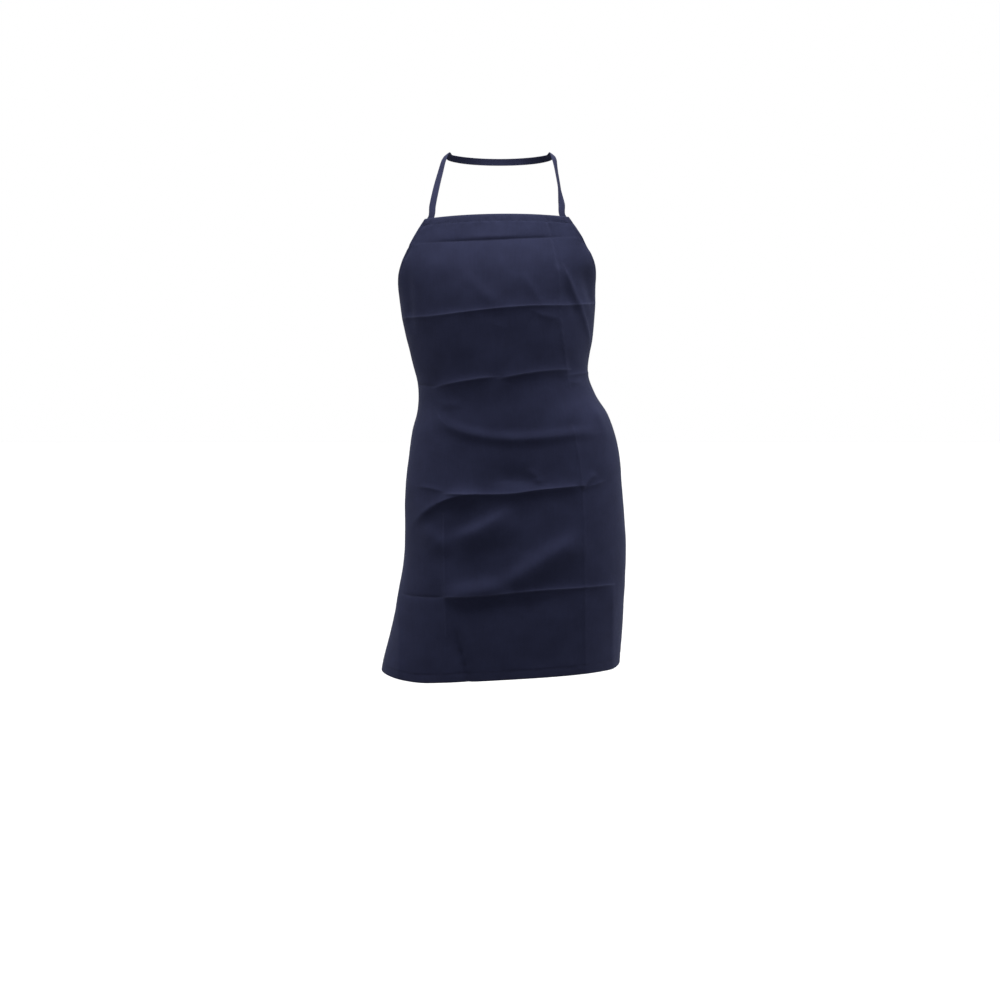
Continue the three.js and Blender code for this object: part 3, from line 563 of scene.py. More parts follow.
def pressed_at(across, down):
    """How much the iron has paled each place, with a painted highlight along the crease lines, from 0 to 1.
    """
    pale = np.zeros(across.shape)
    for fold in FOLDS:
        far = fold_shape(fold, across, down)[1]
        pale = np.maximum(pale, fold["pressed"] * np.exp(-((far / PRESSED_HIGHLIGHT_REACH) ** 2)))
    return pale


def apron_panel(material):
    """The cut panel, with its edges rolled back into the hems."""
    across, shares, depth = panel_grid()
    normals = form_normal(across, shares)
    outer = cloth(across, shares) - depth[..., None] * normals
    down = np.broadcast_to((shares * APRON_LENGTH)[:, None], across.shape)
    uvs = np.stack([across, -down], axis=-1)
    inset = np.minimum(half_width(shares)[:, None] - np.abs(across), np.minimum(down, APRON_LENGTH - down))
    # The pressed lines' paleness is partly iron wear and partly a painted highlight along the crease
    # ridges.
    numbers = {"pressed": pressed_at(across, down), "edge": np.exp(-inset / WORN_REACH)}
    return shell("apron_panel_cloth", outer, normals, CLOTH_WALL, uvs, material, numbers)


# A hem's own grid: its steps from edge to edge, the step count along it, where it starts inside the
# roll, how much its inner edge is rounded off, and the gap between one hem's end and the next
HEM_STEPS = np.linspace(0, 1, 7)
HEM_LENGTH_STEPS = 190
HEM_START = ROLL_RADIUS + HEM_GAP
HEM_ROUNDING = 0.35 * MM
HEM_END_GAP = 0.3 * MM


def hem_strip(name, across, shares, inner_side, material):
    """A turned hem behind the cloth. Its rows follow the edge and inner_side is the share, across
    each row, of how near the strip's inner edge is."""
    normals = form_normal(across, shares)
    inner_side = np.broadcast_to(inner_side, across.shape)
    round_off = HEM_ROUNDING * np.clip(inner_side, 0, 1) ** 4
    front = cloth(across, shares) - (2 * ROLL_RADIUS - HEM_WALL + round_off)[..., None] * normals
    uvs = np.stack([across, -np.broadcast_to((shares * APRON_LENGTH)[:, None], across.shape)], axis=-1)
    numbers = {"pressed": np.zeros(across.shape), "edge": 1 - np.clip(inner_side, 0, 1)}
    return shell(name, front, normals, HEM_WALL, uvs, material, numbers)


def make_hems(material):
    """The six turned hems, in the order of the nodes that they stand for."""
    hems = {}
    bib_insets = HEM_START + (BIB_HEM_WIDTH - HEM_START) * HEM_STEPS
    bottom_insets = BOTTOM_HEM_WIDTH - (BOTTOM_HEM_WIDTH - HEM_START) * HEM_STEPS
    ends = {
        "bib_hem": (bib_insets / APRON_LENGTH, HEM_STEPS),
        "bottom_hem": (1 - bottom_insets / APRON_LENGTH, 1 - HEM_STEPS),
    }
    for name, (rows, inner) in ends.items():
        reach = (half_width(rows) - HEM_START)[:, None]
        across = reach * np.linspace(-1, 1, HEM_LENGTH_STEPS)[None, :]
        hems[name] = hem_strip(name + "_turn", across, rows, inner[:, None], material)
    stretches = {
        "armhole_hem": (BIB_HEM_WIDTH + HEM_END_GAP, ARMHOLE_DEPTH - HEM_END_GAP),
        "side_hem": (ARMHOLE_DEPTH + HEM_END_GAP, APRON_LENGTH - BOTTOM_HEM_WIDTH - HEM_END_GAP),
    }
    for kind, (start, end) in stretches.items():
        rows = np.linspace(start, end, HEM_LENGTH_STEPS) / APRON_LENGTH
        insets = HEM_START + (SIDE_HEM_WIDTH - HEM_START) * HEM_STEPS[None, :]
        left = insets - half_width(rows)[:, None]
        inner = HEM_STEPS[None, :]
        name = kind + "_left"
        hems[name] = hem_strip(name + "_turn", left, rows, inner, material)
        name = kind + "_right"
        hems[name] = hem_strip(name + "_turn", -left[:, ::-1], rows, inner[:, ::-1], material)
    return hems


# Tape. A stop is its place, the way its outer face looks, its width as a share and its cup, which
# is how far its middle stands out, as a share of its width.

# The tape's cut end: how wide and in how many steps its face is, its rim, and the grooves that the
# seams draw, in shares of half the width and of half the wall
TAPE_FACE = 0.95
TAPE_FACE_STEPS = 15
TAPE_RIM = [(0.99, 0.6), (1, 0), (0.99, -0.6)]
TAPE_GROOVE_PLACE = 0.72
TAPE_GROOVE_REACH = 0.07
TAPE_GROOVE_DEPTH = 0.3

# How high a tape's stitches lie, as a share of its wall, and how fast its edges pale
TAPE_SEAM_HEIGHT = 0.38
TAPE_EDGE_POWER = 6


def tape_section():
    """The outline of the tape's cut end: shares of the half width, and heights as shares of half the
    wall, walked round with the outer face first."""
    outer = []
    for x in np.linspace(-TAPE_FACE, TAPE_FACE, TAPE_FACE_STEPS):
        off_seam = (abs(x) - TAPE_GROOVE_PLACE) / TAPE_GROOVE_REACH
        outer.append((x, 1 - TAPE_GROOVE_DEPTH * math.exp(-off_seam**2)))
    inner = [(x, -h) for x, h in outer[::-1]]
    return np.array(outer + TAPE_RIM + inner + [(-x, -h) for x, h in TAPE_RIM])


def tape(name, stops, material, step=TAPE_STEP):
    """A flat tape along a smooth curve through stops, and its four seams."""
    table = np.array([list(at) + list(face) + [width, cup] for at, face, width, cup in stops], float)
    chord = walked_along(table[:, :3])
    count = int(chord[-1] / step)
    centres, shares = smooth_route(table[:, :3], count)
    rest = [np.interp(shares * chord[-1], chord, table[:, k]) for k in range(3, 8)]
    faces_to = np.stack(rest[:3], axis=1)
    width, cup = rest[3], rest[4]
    way = np.gradient(centres, axis=0)
    way /= np.linalg.norm(way, axis=1, keepdims=True)
    faces_to -= way * (faces_to * way).sum(axis=1, keepdims=True)
    faces_to /= np.linalg.norm(faces_to, axis=1, keepdims=True)
    sideways = np.cross(way, faces_to)
    section = tape_section()
    half = width[:, None] * TAPE_WIDTH / 2
    aside = half * section[None, :, 0]
    bulge = cup[:, None] * 2 * half * (1 - section[None, :, 0] ** 2)
    height = section[None, :, 1] * TAPE_WALL / 2 + bulge
    rings = centres[:, None] + aside[..., None] * sideways[:, None] + height[..., None] * faces_to[:, None]
    around = len(section)
    uvs = np.stack([aside, np.broadcast_to(walked_along(centres)[:, None], aside.shape)], axis=-1)
    faces = []
    for first in range(0, (count - 1) * around, around):
        for c in range(around):
            a, b = first + c, first + (c + 1) % around
            faces.append((a, b, b + around, a + around))
    faces.append(tuple(range(around))[::-1])
    faces.append(tuple((count - 1) * around + c for c in range(around)))
    edge = np.broadcast_to(np.abs(section[None, :, 0]) ** TAPE_EDGE_POWER, aside.shape)
    numbers = {"pressed": np.zeros(aside.shape), "edge": edge}
    piece = make_piece(name, rings.reshape(-1, 3), faces, uvs.reshape(-1, 2), material, numbers)
    seams = []
    for side in (-1, 1):
        reach = side * (half[:, 0] - TAPE_SEAM_INSET * width)
        rise = cup * 2 * half[:, 0] * (1 - (reach / half[:, 0]) ** 2)
        for out in (-1, 1):
            height = rise + out * TAPE_WALL * TAPE_SEAM_HEIGHT
            lines = centres + reach[:, None] * sideways + height[:, None] * faces_to
            seams.append((lines, out * faces_to))
    return piece, seams


# The strap between a bib corner and the side of the neck: shares of the way up, out and back, and
# the way its face looks
STRAP_ROUTE = [
    (0.2, 0.13, 0.15, (0.3, -0.8, 0.5)),
    (0.45, 0.34, 0.38, (0.35, -0.7, 0.6)),
    (0.72, 0.62, 0.66, (0.45, -0.5, 0.75)),
    (0.93, 0.87, 0.87, (0.5, -0.25, 0.85)),
]
# On the right the strap has turned partly on its edge between these shares of the way up
STRAP_TURN = {0.45: (1.35, -0.55, 0.35), 0.72: (1.2, -0.4, 0.7)}

# Round the nape: the half circle's places in degrees, and how much its face looks aside and up
NAPE_DEGREES = (0, 22, 45, 68, 90, 112, 135, 158, 180)
NAPE_ASIDE = 0.55
NAPE_UP = 0.85
STRAP_CUP = 0.02


def sewn_end(across, shares):
    """Stops of a tape that is sewn flat behind the cloth at single places."""
    places, normals = cloth_at(across, shares)
    return [(place - normal * TAPE_DEPTH, normal, 1, 0) for place, normal in zip(places, normals)]


def strap_side(side):
    """Stops of the strap from where it is sewn at a bib corner up to the side of the neck."""
    inset = STRAP_EDGE + TAPE_WIDTH / 2
    shares = np.array([STRAP_FOOT, STRAP_FOOT / 2, 0]) / APRON_LENGTH
    stops = sewn_end(side * (half_width(shares) - inset), shares)
    foot = stops[2][0]
    sideways = side * NECK_HALF_WIDTH - foot[0]
    backwards = -NECK_SIDE_DEPTH - foot[1]
    for up, out, back, face in STRAP_ROUTE:
        at = (foot[0] + out * sideways, foot[1] + back * backwards, foot[2] * (1 - up))
        turned = STRAP_TURN.get(up, face) if side > 0 else face
        stops.append((at, (side * turned[0], turned[1], turned[2]), 1, STRAP_CUP))
    return stops


def neck_strap(material):
    """The neck strap, from one bib corner round the nape to the other."""
    stops = strap_side(-1)
    for degree in NAPE_DEGREES:
        angle = math.radians(degree)
        away = math.sin(angle)
        x = -NECK_HALF_WIDTH * math.cos(angle)
        y = away * (NECK_SIDE_DEPTH + TAPE_WALL / 2) - NECK_SIDE_DEPTH
        face = (-NAPE_ASIDE * math.cos(angle), away, NAPE_UP * (1 - away))
        stops.append(((x, y, 0), face, 1, STRAP_CUP))
    stops += strap_side(1)[::-1]
    return tape("neck_strap_tape", stops, material)


TIE_DOWN = (ARMHOLE_DEPTH + TIE_EDGE + TAPE_WIDTH / 2) / APRON_LENGTH


def tie_place(across, depth):
    """A point and its outward face on the waist's outline, at a depth inside it."""
    step = 2 * MM
    ways = np.array([[across - step, across, across + step]])
    left, at, right = round_form(ways, np.array([TIE_DOWN]))[0]
    along = right - left
    face = np.cross((0, 0, -1), along)
    face /= np.linalg.norm(face)
    return at - face * depth, face


def waist_girth(side):
    """How far it is round the waist from the middle of the front to the middle of the back."""
    walked = outline_at(TIE_DOWN)[2]
    return walked[-1] if side > 0 else -walked[0]


BACK_POINT = tie_place(waist_girth(1), 0)[0]

# A waist tie: how many places it has round the back, and where it is drawn together near the knot,
# as width and cup. Elsewhere it is as wide as the tape.
TIE_PLACES = 6
TIE_DRAWN = {5: (0.9, 0.04), 6: (0.62, 0.12)}
TIE_OPEN = (1, 0.01)
TIE_CROSSED = (0.6, 0.12)


def waist_tie(name, side, material):
    """A waist tie: sewn behind the side hem, then round the back into the knot."""
    insets = np.array([TIE_OVERLAP, TIE_OVERLAP / 2, 0])
    stops = sewn_end(side * (HALF_WIDTH - insets), TIE_DOWN)
    end = waist_girth(side) - KNOT_WIDTH / 2
    for k in range(1, TIE_PLACES + 1):
        at, face = tie_place(side * (HALF_WIDTH + (end - HALF_WIDTH) * k / TIE_PLACES), TIE_BACK_DEPTH)
        sag = TIE_SAG * math.sin(math.pi * k / TIE_PLACES)
        stops.append((at - np.array((0, 0, sag)), face, *TIE_DRAWN.get(k, TIE_OPEN)))
    middle = BACK_POINT + np.array((side * TIE_CROSSING, -TIE_BACK_DEPTH, 0))
    stops.append((middle, (0, 1, 0), *TIE_CROSSED))
    return tape(name, stops, material)


# How far the knot's middle lies behind the waist's outline at the back
KNOT_MIDDLE = KNOT_DEPTH / 2 - TIE_BACK_DEPTH - KNOT_SINK

# A bow loop: shares of its length out and down, its place between the inner run, 0, and the outer
# run, 1, the way its face looks, its width as a share and its cup
LOOP_ROUTE = [
    (-0.1, 0, 0.8, (0, 1, 0), 0.6, 0.1),
    (0.02, 0.005, 0.9, (0, 1, 0), 0.62, 0.14),
    (0.1, 0.015, 1, (0, 1, 0.05), 0.8, 0.12),
    (0.22, 0.045, 1.1, (0, 1, 0.1), 0.95, 0.06),
    (0.42, 0.15, 1.2, (0, 1, 0.1), 1, 0.02),
    (0.66, 0.37, 1.1, (0.1, 1, 0), 1, 0.01),
    (0.78, 0.53, 0.86, (0.4, 0.8, -0.4), 1, 0),
    (0.81, 0.58, 0.5, (0.7, 0, -0.7), 1, 0),
    (0.78, 0.54, 0.14, (0.4, -0.8, -0.4), 1, 0),
    (0.64, 0.37, 0, (0.1, -1, 0), 1, 0.01),
    (0.4, 0.17, 0, (0, -1, 0), 1, 0.02),
    (0.2, 0.065, 0.05, (0, -1, 0), 0.92, -0.05),
    (0.1, 0.04, 0.14, (0, -1, 0), 0.78, -0.1),
    (0.02, 0.03, 0.25, (0, -1, 0), 0.62, -0.12),
    (-0.1, 0.02, 0.35, (0, -1, 0), 0.6, -0.1),
]


def bow_loop(name, side, material):
    """A bow loop, out of the knot and back into it."""
    stops = []
    for out, down, off, face, width, cup in LOOP_ROUTE:
        x = side * (KNOT_WIDTH / 2 + out * BOW_LOOP_LENGTH)
        y = (off - 0.5) * BOW_LOOP_OPENING + KNOT_MIDDLE
        at = BACK_POINT + np.array((x, y, -down * BOW_LOOP_LENGTH))
        stops.append((at, (side * face[0], face[1], face[2]), width, cup))
    return tape(name, stops, material, step=LOOP_STEP)


# A free tail: shares of its length down, of the tape's width aside and of its wall off the cloth,
# how far its face turns aside, its width as a share and its cup
TAIL_ROUTE = [
    (-0.03, 0.3, 0.5, 0, 0.6, 0.12),
    (0.01, 0.5, 0.8, 0, 0.62, 0.14),
    (0.05, 0.6, 1, 0.1, 0.8, 0.1),
    (0.14, 0.78, 1, 0.2, 0.98, 0.03),
    (0.3, 1.15, 1.6, 0.25, 1, 0.02),
    (0.5, 1.7, 1, 0.05, 1, 0.015),
    (0.75, 1.9, 1.8, -0.2, 1, 0.01),
    (1, 2.4, 1, -0.1, 1, 0),
]


def tie_tail(name, side, material):
    """A free tail, from the knot down behind the skirt."""
    top = KNOT_HEIGHT / 2 - TAIL_TUCK
    stops = []
    for down, aside, off, turn, width, cup in TAIL_ROUTE:
        drop = top + down * TAIL_LENGTH
        back = read_column("back", TIE_DOWN + drop / HANG) - read_column("back", TIE_DOWN)
        y = back * TRUNK_DEPTH + off * TAPE_WALL
        at = BACK_POINT + np.array((side * aside * TAPE_WIDTH, y, -drop))
        stops.append((at, (side * turn, 1, 0), width, cup))
    return tape(name, stops, material)


# The knot's wraps of tape: half their height and depth in mm, their width as a share of the tape's,
# how many degrees they lean from upright and how many mm they lie aside
KNOT_WRAPS = [
    (9.3, 5.2, 1.12, 10, 0.6),
    (8.2, 4.5, 0.95, -24, -3.8),
    (8, 4.3, 0.9, 30, 4.2),
]
KNOT_DEGREES = range(0, 361, 20)
KNOT_CUP = 0.05


def tie_knot(material):
    """The knot: bands of tape wrapped over each other round the crossing of the ties."""
    centre = BACK_POINT + np.array((0, KNOT_MIDDLE, 0))
    pieces = []
    for number, (high, deep, width, lean, aside) in enumerate(KNOT_WRAPS):
        tilt = math.radians(lean)
        sine, cosine = math.sin(tilt), math.cos(tilt)
        turn = np.array(((cosine, 0, sine), (0, 1, 0), (-sine, 0, cosine)))
        stops = []
        for degree in KNOT_DEGREES:
            angle = math.radians(degree)
            face = np.array((0, math.cos(angle) * high, math.sin(angle) * deep))
            at = np.array((aside, math.cos(angle) * deep, math.sin(angle) * high)) * MM
            stops.append((centre + turn @ at, turn @ face, width, KNOT_CUP))
        pieces.append(tape("knot_wrap_%d" % number, stops, material, step=KNOT_STEP)[0])
    knot = pieces[0]
    with bpy.context.temp_override(active_object=knot, selected_editable_objects=pieces):
        bpy.ops.object.join()
    knot.name = "tie_knot_wraps"
    return knot


# Nodes

def set_input(tree, node, key, value):
    """Sets a node's input to a value, or joins it to another node's output."""
    if isinstance(value, bpy.types.NodeSocket):
        tree.links.new(value, node.inputs[key])
    else:
        node.inputs[key].default_value = value


def add_node(tree, kind, settings=None, inputs=None):
    """A node with its settings, and with each input set to a value or joined to another's output."""
    node = tree.nodes.new(kind)
    for key, value in (settings or {}).items():
        setattr(node, key, value)
    for key, value in (inputs or {}).items():
        set_input(tree, node, key, value)
    return node


# Stitches, laid by geometry nodes along lines of points that carry the way their cloth faces

def stitch_tree(name, material):
    """Small lengths of thread, spaced along lines and turned to lie on the cloth."""
    tree = bpy.data.node_groups.new(name, "GeometryNodeTree")
    for way in ("INPUT", "OUTPUT"):
        tree.interface.new_socket("Geometry", in_out=way, socket_type="NodeSocketGeometry")
    sockets = {}
    for label in ("Pitch", "Length", "Width", "Height"):
        item = tree.interface.new_socket(label, in_out="INPUT", socket_type="NodeSocketFloat")
        item.subtype = "DISTANCE"
        sockets[label] = item.identifier

    def add(kind, output, settings=None, **inputs):
        named = {key.replace("_", " "): value for key, value in inputs.items()}
        return add_node(tree, kind, settings, named).outputs[output]

    given = add_node(tree, "NodeGroupInput").outputs
    curve = add("GeometryNodeMeshToCurve", "Curve", Mesh=given["Geometry"])
    by_length = {"mode": "LENGTH"}
    spaced = add("GeometryNodeResampleCurve", "Curve", by_length, Curve=curve, Length=given["Pitch"])
    as_vector = {"data_type": "FLOAT_VECTOR"}
    facing = add("GeometryNodeInputNamedAttribute", "Attribute", as_vector, Name="facing")
    tangent = add("GeometryNodeInputTangent", "Tangent")
    axes = {"primary_axis": "Z", "secondary_axis": "X"}
    turn = add("FunctionNodeAxesToRotation", "Rotation", axes, Primary_Axis=facing, Secondary_Axis=tangent)
    stitch = add("GeometryNodeMeshUVSphere", "Mesh", Segments=STITCH_SIDES, Rings=STITCH_RINGS, Radius=0.5)
    size = add("ShaderNodeCombineXYZ", "Vector", X=given["Length"], Y=given["Width"], Z=given["Height"])
    laid = add("GeometryNodeInstanceOnPoints", "Instances", Points=spaced, Instance=stitch, Rotation=turn,
               Scale=size)
    real = add("GeometryNodeRealizeInstances", "Geometry", Geometry=laid)
    smooth = add("GeometryNodeSetShadeSmooth", "Geometry", Geometry=real)
    finished = add("GeometryNodeSetMaterial", "Geometry", Geometry=smooth, Material=material)
    add_node(tree, "NodeGroupOutput", None, {"Geometry": finished})
    return tree, sockets


def make_stitches(name, seams, material):
    """One mesh of stitches along seams, each a line of points and the way the cloth faces there."""
    points, edges, facing = [], [], []
    for line, faces_to in seams:
        first = len(points)
        points += [tuple(p) for p in line]
        edges += [(first + k, first + k + 1) for k in range(len(line) - 1)]
        facing.append(faces_to)
    mesh = bpy.data.meshes.new(name + "_lines")
    mesh.from_pydata(points, edges, [])
    attribute = mesh.attributes.new("facing", "FLOAT_VECTOR", "POINT")
    attribute.data.foreach_set("vector", np.concatenate(facing).ravel())
    lines = add_object(name + "_lines", mesh)
    tree, sockets = stitch_tree(name + "_tree", material)
    maker = lines.modifiers.new("stitches", "NODES")
    maker.node_group = tree
    sizes = {"Pitch": STITCH_PITCH, "Length": STITCH_LENGTH, "Width": STITCH_WIDTH, "Height": STITCH_HEIGHT}
    for label, value in sizes.items():
        maker[sockets[label]] = value
    made = lines.evaluated_get(bpy.context.evaluated_depsgraph_get())
    baked = bpy.data.meshes.new_from_object(made)
    baked.name = name
    bpy.data.objects.remove(lines)
    bpy.data.meshes.remove(mesh)
    return add_object(name, baked)


def seam_line(across, shares, back):
    """A seam on the cloth at single places, on its outer face or on the hem behind it."""
    points, normals = cloth_at(across, shares)
    if back:
        return points - normals * (2 * ROLL_RADIUS + BACK_STITCH_LIFT), -normals
    return points + normals * FRONT_STITCH_LIFT, normals


# The hem seams: their points across and down the panel, how far from the top and bottom edges the
# upright ones end, and how far from the sides the level ones end
SEAM_POINTS_ACROSS = 90
SEAM_POINTS_DOWN = 260
SEAM_END_DOWN = 4 * MM
SEAM_END_ACROSS = 3 * MM


def hem_seams():
    """The seams along all hems, in front and behind."""
    seams = []
    line = np.linspace(-1, 1, SEAM_POINTS_ACROSS)
    top = (BIB_HEM_WIDTH - SEAM_INSET) / APRON_LENGTH
    low = 1 - (BOTTOM_HEM_WIDTH - SEAM_INSET) / APRON_LENGTH
    ends = SEAM_END_DOWN / APRON_LENGTH
    down = np.linspace(ends, 1 - ends, SEAM_POINTS_DOWN)
    for back in (False, True):
        for share in (top, low):
            reach = half_width(share) - SEAM_END_ACROSS
            seams.append(seam_line(line * reach, np.full(line.shape, share), back))
        for side in (-1, 1):
            inset = SIDE_HEM_WIDTH - SEAM_INSET
            seams.append(seam_line(side * (half_width(down) - inset), down, back))
    return seams


# The boxes of stitches that hold the strap and the ties: how far their middles lie from the edge,
# and half their size across and down
STRAP_BOX_DOWN = 7.5 * MM
STRAP_BOX = (5 * MM, 4.6 * MM)
TIE_BOX_INSET = 5 * MM
TIE_BOX = (3.6 * MM, 5 * MM)
BOX_CORNERS = [(-1, -1), (1, -1), (1, 1), (-1, 1), (-1, -1)]
BOX_SIDE_STEPS = 4


def box_seams():
    """Boxes of stitches that hold the strap's and the ties' ends, on the cloth's face."""
    boxes = []
    for side in (-1, 1):
        strap = half_width(STRAP_FOOT / 2 / APRON_LENGTH) - STRAP_EDGE - TAPE_WIDTH / 2
        boxes.append((side * strap, STRAP_BOX_DOWN, *STRAP_BOX))
        boxes.append((side * (HALF_WIDTH - TIE_BOX_INSET), TIE_DOWN * APRON_LENGTH, *TIE_BOX))
    seams = []
    for x, y, half_across, half_down in boxes:
        places = []
        for (ax, ay), (bx, by) in zip(BOX_CORNERS, BOX_CORNERS[1:]):
            for t in np.linspace(0, 1, BOX_SIDE_STEPS + 1)[:-1]:
                across, down = ax + (bx - ax) * t, ay + (by - ay) * t
                places.append((x + across * half_across, y + down * half_down))
        places.append(places[0])
        places = np.array(places)
        seams.append(seam_line(places[:, 0], places[:, 1] / APRON_LENGTH, False))
    return seams


# Finishes

class Finish:
    """A material's nodes, added one by one."""

    def __init__(self, name):
        self.material = bpy.data.materials.new(name)
        self.material.use_nodes = True
        self.tree = self.material.node_tree
        self.shader = self.tree.nodes["Principled BSDF"]

    def add(self, kind, settings=None, inputs=None):
        return add_node(self.tree, kind, settings, inputs)

    def math(self, operation, a, b=0.0):
        return self.add("ShaderNodeMath", {"operation": operation}, {0: a, 1: b}).outputs[0]

    def sum(self, *parts):
        """The sum of parts, each an output and how much of it counts."""
        scaled = [self.math("MULTIPLY", value, share) for value, share in parts]
        total = scaled[0]
        for part in scaled[1:]:
            total = self.math("ADD", total, part)
        return total

    def mix(self, share, a, b):
        inputs = {0: share, 6: a, 7: b}
        return self.add("ShaderNodeMix", {"data_type": "RGBA"}, inputs).outputs[2]

    def noise(self, vector, scale, detail=2.0, roughness=0.5):
        inputs = {"Vector": vector, "Scale": scale, "Detail": detail, "Roughness": roughness}
        return self.add("ShaderNodeTexNoise", {}, inputs).outputs["Fac"]

    def stretched(self, vector, scale):
        inputs = {"Vector": vector, "Scale": scale}
        return self.add("ShaderNodeMapping", {}, inputs).outputs["Vector"]

    def ranged(self, value, **limits):
        inputs = {"Value": value}
        for key, limit in limits.items():
            inputs[key.replace("_", " ").title()] = limit
        return self.add("ShaderNodeMapRange", {}, inputs).outputs["Result"]

    def number(self, name):
        return self.add("ShaderNodeAttribute", {"attribute_name": name}).outputs["Fac"]

    def set(self, label, value):
        set_input(self.tree, self.shader, label, value)


# The wave texture's bands lie this far apart at a scale of 1, in metres
WAVE_UNIT = math.pi / 10

# Noise scales, in bumps to a metre, and how much threads and thick places are drawn out
THREAD_SCALE = 1400
FUZZ_SCALE = 900
SLUB_SCALE = 260
CRUMPLE_SCALE = 60
MOTTLE_SCALE = 22
THREAD_STRETCH = 0.035
SLUB_STRETCH = 0.12

# How much of the pale tone shows where the cloth is pressed, which is partly a painted highlight along the
# creases, and where its edges are worn
PRESSED_HIGHLIGHT_PALENESS = 0.5
WORN_PALENESS = 0.2


def woven(name, dark, light, pale, rib_pitch, rib_slant, rib_depth):
    """Woven cotton: slanted ribs, uneven threads, mottled dye, paler pressed lines with a painted highlight
    along the creases, and paler edges.
    """
    finish = Finish(name)
    flat = finish.add("ShaderNodeUVMap", {"uv_map": "flat_cut"}).outputs["UV"]
    slant = (0, 0, math.radians(rib_slant))
    turned = finish.add("ShaderNodeMapping", {}, {"Vector": flat, "Rotation": slant})
    wave_scale = WAVE_UNIT / rib_pitch
    ribs = finish.add(
        "ShaderNodeTexWave",
        {"wave_type": "BANDS", "bands_direction": "X"},
        {"Vector": turned.outputs["Vector"], "Scale": wave_scale, "Distortion": 0.0},
    ).outputs["Fac"]
    warp = finish.noise(finish.stretched(flat, (1, THREAD_STRETCH, 1)), THREAD_SCALE, detail=1)
    weft = finish.noise(finish.stretched(flat, (THREAD_STRETCH, 1, 1)), THREAD_SCALE, detail=1)
    threads = finish.math("ADD", warp, weft)
    slubs = finish.noise(finish.stretched(flat, (1, SLUB_STRETCH, 1)), SLUB_SCALE)
    mottle = finish.noise(flat, MOTTLE_SCALE, detail=3, roughness=0.55)
    shade = finish.sum((mottle, 0.55), (slubs, 0.25), (threads, 0.1), (ribs, 0.12))
    colour = finish.mix(finish.ranged(shade, from_min=0.41, from_max=0.71), dark, light)
    fuzz = finish.noise(flat, FUZZ_SCALE, roughness=0.7)
    # Pressed lines are paled: partly iron wear, partly a painted highlight along the crease ridges.
    rubbed_and_highlight = finish.math("MULTIPLY", fuzz, PRESSED_HIGHLIGHT_PALENESS)
    pressed = finish.math("MULTIPLY", finish.number("pressed"), rubbed_and_highlight)
    frayed = finish.math("MULTIPLY", slubs, WORN_PALENESS)
    edges = finish.math("MULTIPLY", finish.number("edge"), frayed)
    finish.set("Base Color", finish.mix(finish.math("MAXIMUM", pressed, edges), colour, pale))
    finish.set("Roughness", finish.ranged(slubs, to_min=0.82, to_max=0.96))
    height = finish.sum((ribs, 0.6), (threads, 0.3))
    weave = finish.add("ShaderNodeBump", {}, {"Strength": 0.5, "Distance": rib_depth, "Height": height})
    crumple = finish.noise(flat, CRUMPLE_SCALE, detail=3, roughness=0.6)
    soft = finish.add(
        "ShaderNodeBump",
        {},
        {"Strength": 0.35, "Distance": 0.4 * MM, "Height": crumple, "Normal": weave.outputs["Normal"]},
    )
    finish.set("Normal", soft.outputs["Normal"])
    finish.set("Sheen Weight", 0.01)
    finish.set("Sheen Roughness", 0.4)
    finish.set("Sheen Tint", (0.5, 0.6, 1, 1))
    finish.set("Specular IOR Level", 0.05)
    return finish.material


# The scale of a thread's twist, in strands to a metre
STRAND_SCALE = 2500


def thread(name, dark, light):
    """Twisted sewing thread."""
    finish = Finish(name)
    place = finish.add("ShaderNodeTexCoord").outputs["Object"]
    strands = finish.noise(place, STRAND_SCALE, detail=1)
    finish.set("Base Color", finish.mix(strands, dark, light))
    finish.set("Roughness", finish.ranged(strands, to_min=0.7, to_max=0.9))
    finish.set("Specular IOR Level", 0.1)
    twist = finish.add("ShaderNodeBump", {}, {"Strength": 0.4, "Distance": 0.05 * MM, "Height": strands})
    finish.set("Normal", twist.outputs["Normal"])
    return finish.material


TWILL = woven("navy_twill", (0.0104, 0.0118, 0.0272, 1), (0.0137, 0.0156, 0.0353, 1),
              (0.045, 0.049, 0.092, 1), 0.65 * MM, 33, 0.12 * MM)
# The tape's colours are darker than the twill's as a painted shade, standing in for the shade a head and
# collar cast on the strap; the ties, bow loops, tails and knot take the same darker colours.
SHADED_TAPE_CLOTH = woven("navy_tape_painted_shade", (0.0084, 0.0094, 0.0222, 1), (0.0118, 0.0130, 0.0300, 1),
                   (0.028, 0.030, 0.058, 1), 0.55 * MM, 50, 0.10 * MM)
THREAD = thread("navy_thread", (0.0075, 0.0085, 0.021, 1), (0.012, 0.0135, 0.031, 1))


# Stage: a pale floor below the hanging apron, a pale room, soft light and the photograph's camera

FLOOR_LEVEL = -1.57
FLOOR_HALF_WIDTH = 60
FLOOR_CORNERS = ((-1, -1), (1, -1), (1, 1), (-1, 1))


def make_floor():
    """A pale floor below the hanging apron."""
    finish = Finish("pale_floor")
    finish.set("Base Color", (0.85, 0.85, 0.85, 1))
    finish.set("Roughness", 0.9)
    mesh = bpy.data.meshes.new("floor")
    corners = [(x * FLOOR_HALF_WIDTH, y * FLOOR_HALF_WIDTH, FLOOR_LEVEL) for x, y in FLOOR_CORNERS]
    mesh.from_pydata(corners, [], [(0, 1, 2, 3)])
    mesh.materials.append(finish.material)
    floor = add_object("floor", mesh)
    floor.visible_diffuse = False


# The room's tones, from straight below, 0, to straight above, 1
ROOM_TONES = ((0.0, 0.25), (0.44, 0.25), (0.47, 1.0), (0.64, 1.0), (0.72, 0.3), (1.0, 0.2))


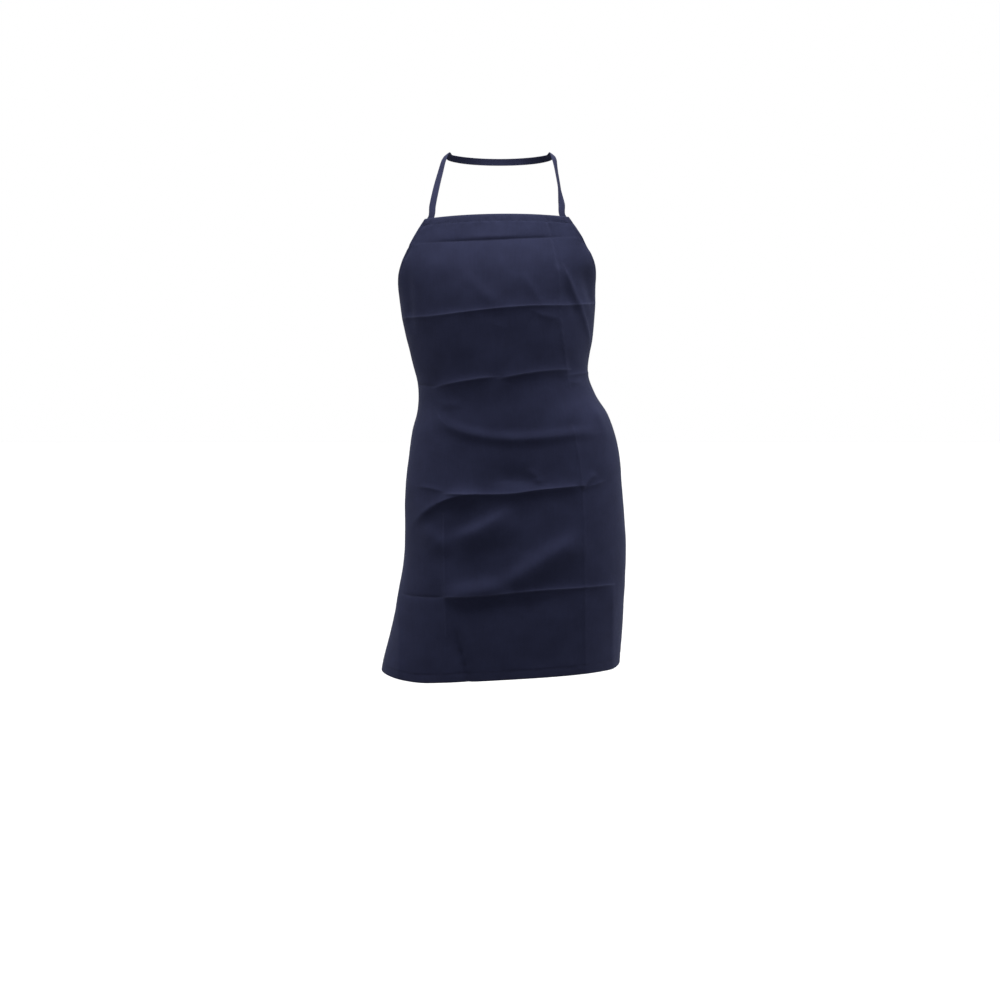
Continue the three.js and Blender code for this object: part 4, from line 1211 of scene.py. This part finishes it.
def make_room():
    """A pale room: dimmer overhead, white at eye level."""
    world = bpy.data.worlds.new("pale_room")
    bpy.context.scene.world = world
    world.use_nodes = True
    tree = world.node_tree
    place = add_node(tree, "ShaderNodeTexCoord").outputs["Generated"]
    up = add_node(tree, "ShaderNodeSeparateXYZ", {}, {"Vector": place}).outputs["Z"]
    height = add_node(tree, "ShaderNodeMapRange", {}, {"Value": up, "From Min": -1}).outputs["Result"]
    ramp = add_node(tree, "ShaderNodeValToRGB", {}, {"Fac": height})
    stops = ramp.color_ramp.elements
    while len(stops) < len(ROOM_TONES):
        stops.new(1)
    for stop, (place_up, tone) in zip(stops, ROOM_TONES):
        stop.position = place_up
        stop.color = (tone, tone, tone, 1)
    set_input(tree, tree.nodes["Background"], "Color", ramp.outputs["Color"])


# Square lamps: name, watts, width, place, and the place they point at
LAMPS = [
    ("top_left", 64, 0.8, (-0.5, -0.5, 1.3), (0, -0.2, -0.5)),
    ("top_right", 64, 0.8, (0.5, -0.5, 1.3), (0, -0.2, -0.5)),
    ("side_left", 6, 0.8, (-1.2, 0.05, -0.95), (0, -0.1, -0.8)),
    ("side_right", 12, 0.8, (1.2, 0.05, -0.95), (0, -0.1, -0.8)),
]

# The broad light from behind: its strength, softness and height in degrees
BACK_STRENGTH = 3.4
BACK_SOFTNESS = 60
BACK_UP = 60


def make_lights():
    """The square lamps, and the broad light from behind."""
    for name, watts, width, place, aim in LAMPS:
        data = bpy.data.lights.new(name, "AREA")
        data.energy = watts
        data.size = width
        lamp = add_object(name, data)
        lamp.location = place
        lamp.rotation_euler = (Vector(aim) - Vector(place)).to_track_quat("-Z", "Y").to_euler()
    data = bpy.data.lights.new("back_light", "SUN")
    data.energy = BACK_STRENGTH
    data.angle = math.radians(BACK_SOFTNESS)
    light = add_object("back_light", data)
    light.rotation_euler = (math.radians(90 - BACK_UP), 0, math.radians(180))


# The camera: its place, tilt down in degrees, focal length in picture widths, and sensor
CAMERA_PLACE = (0.9 * MM, -3.278, -0.4807)
CAMERA_TILT = 2.898
CAMERA_FOCAL = 1.699
SENSOR_WIDTH = 36


def make_camera():
    """The photograph's camera."""
    data = bpy.data.cameras.new("camera")
    data.sensor_width = SENSOR_WIDTH
    data.lens = CAMERA_FOCAL * SENSOR_WIDTH
    camera = add_object("camera", data)
    camera.location = CAMERA_PLACE
    camera.rotation_euler = (math.radians(90 - CAMERA_TILT), 0, 0)
    bpy.context.scene.camera = camera
    bpy.context.scene.view_settings.view_transform = "Standard"


def settle(piece, slot, *nodes):
    """Says which body a piece rides on and which nodes it stands for. slot is not used."""
    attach(piece, "root")
    if nodes:
        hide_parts(*nodes)


make_camera()
make_lights()
make_room()
make_floor()

panel = apron_panel(TWILL)
settle(panel, "cotton_twill", "apron_panel")
hems = make_hems(TWILL)
for node, hem in hems.items():
    settle(hem, "cotton_twill", node)

tape_seams = []
strap, seams = neck_strap(SHADED_TAPE_CLOTH)
settle(strap, "cotton_tape", "neck_strap")
tape_seams += seams
for side_name, side_sign in (("left", -1), ("right", 1)):
    for node, make in (("waist_tie_", waist_tie), ("bow_loop_", bow_loop), ("tie_tail_", tie_tail)):
        piece, seams = make(node + side_name + "_tape", side_sign, SHADED_TAPE_CLOTH)
        settle(piece, "cotton_tape", node + side_name)
        tape_seams += seams
settle(tie_knot(SHADED_TAPE_CLOTH), "cotton_tape", "tie_knot")

hem_stitches = make_stitches("hem_stitches", hem_seams() + box_seams(), THREAD)
settle(hem_stitches, "cotton_twill")
tape_stitches = make_stitches("tape_stitches", tape_seams, THREAD)
settle(tape_stitches, "cotton_tape")
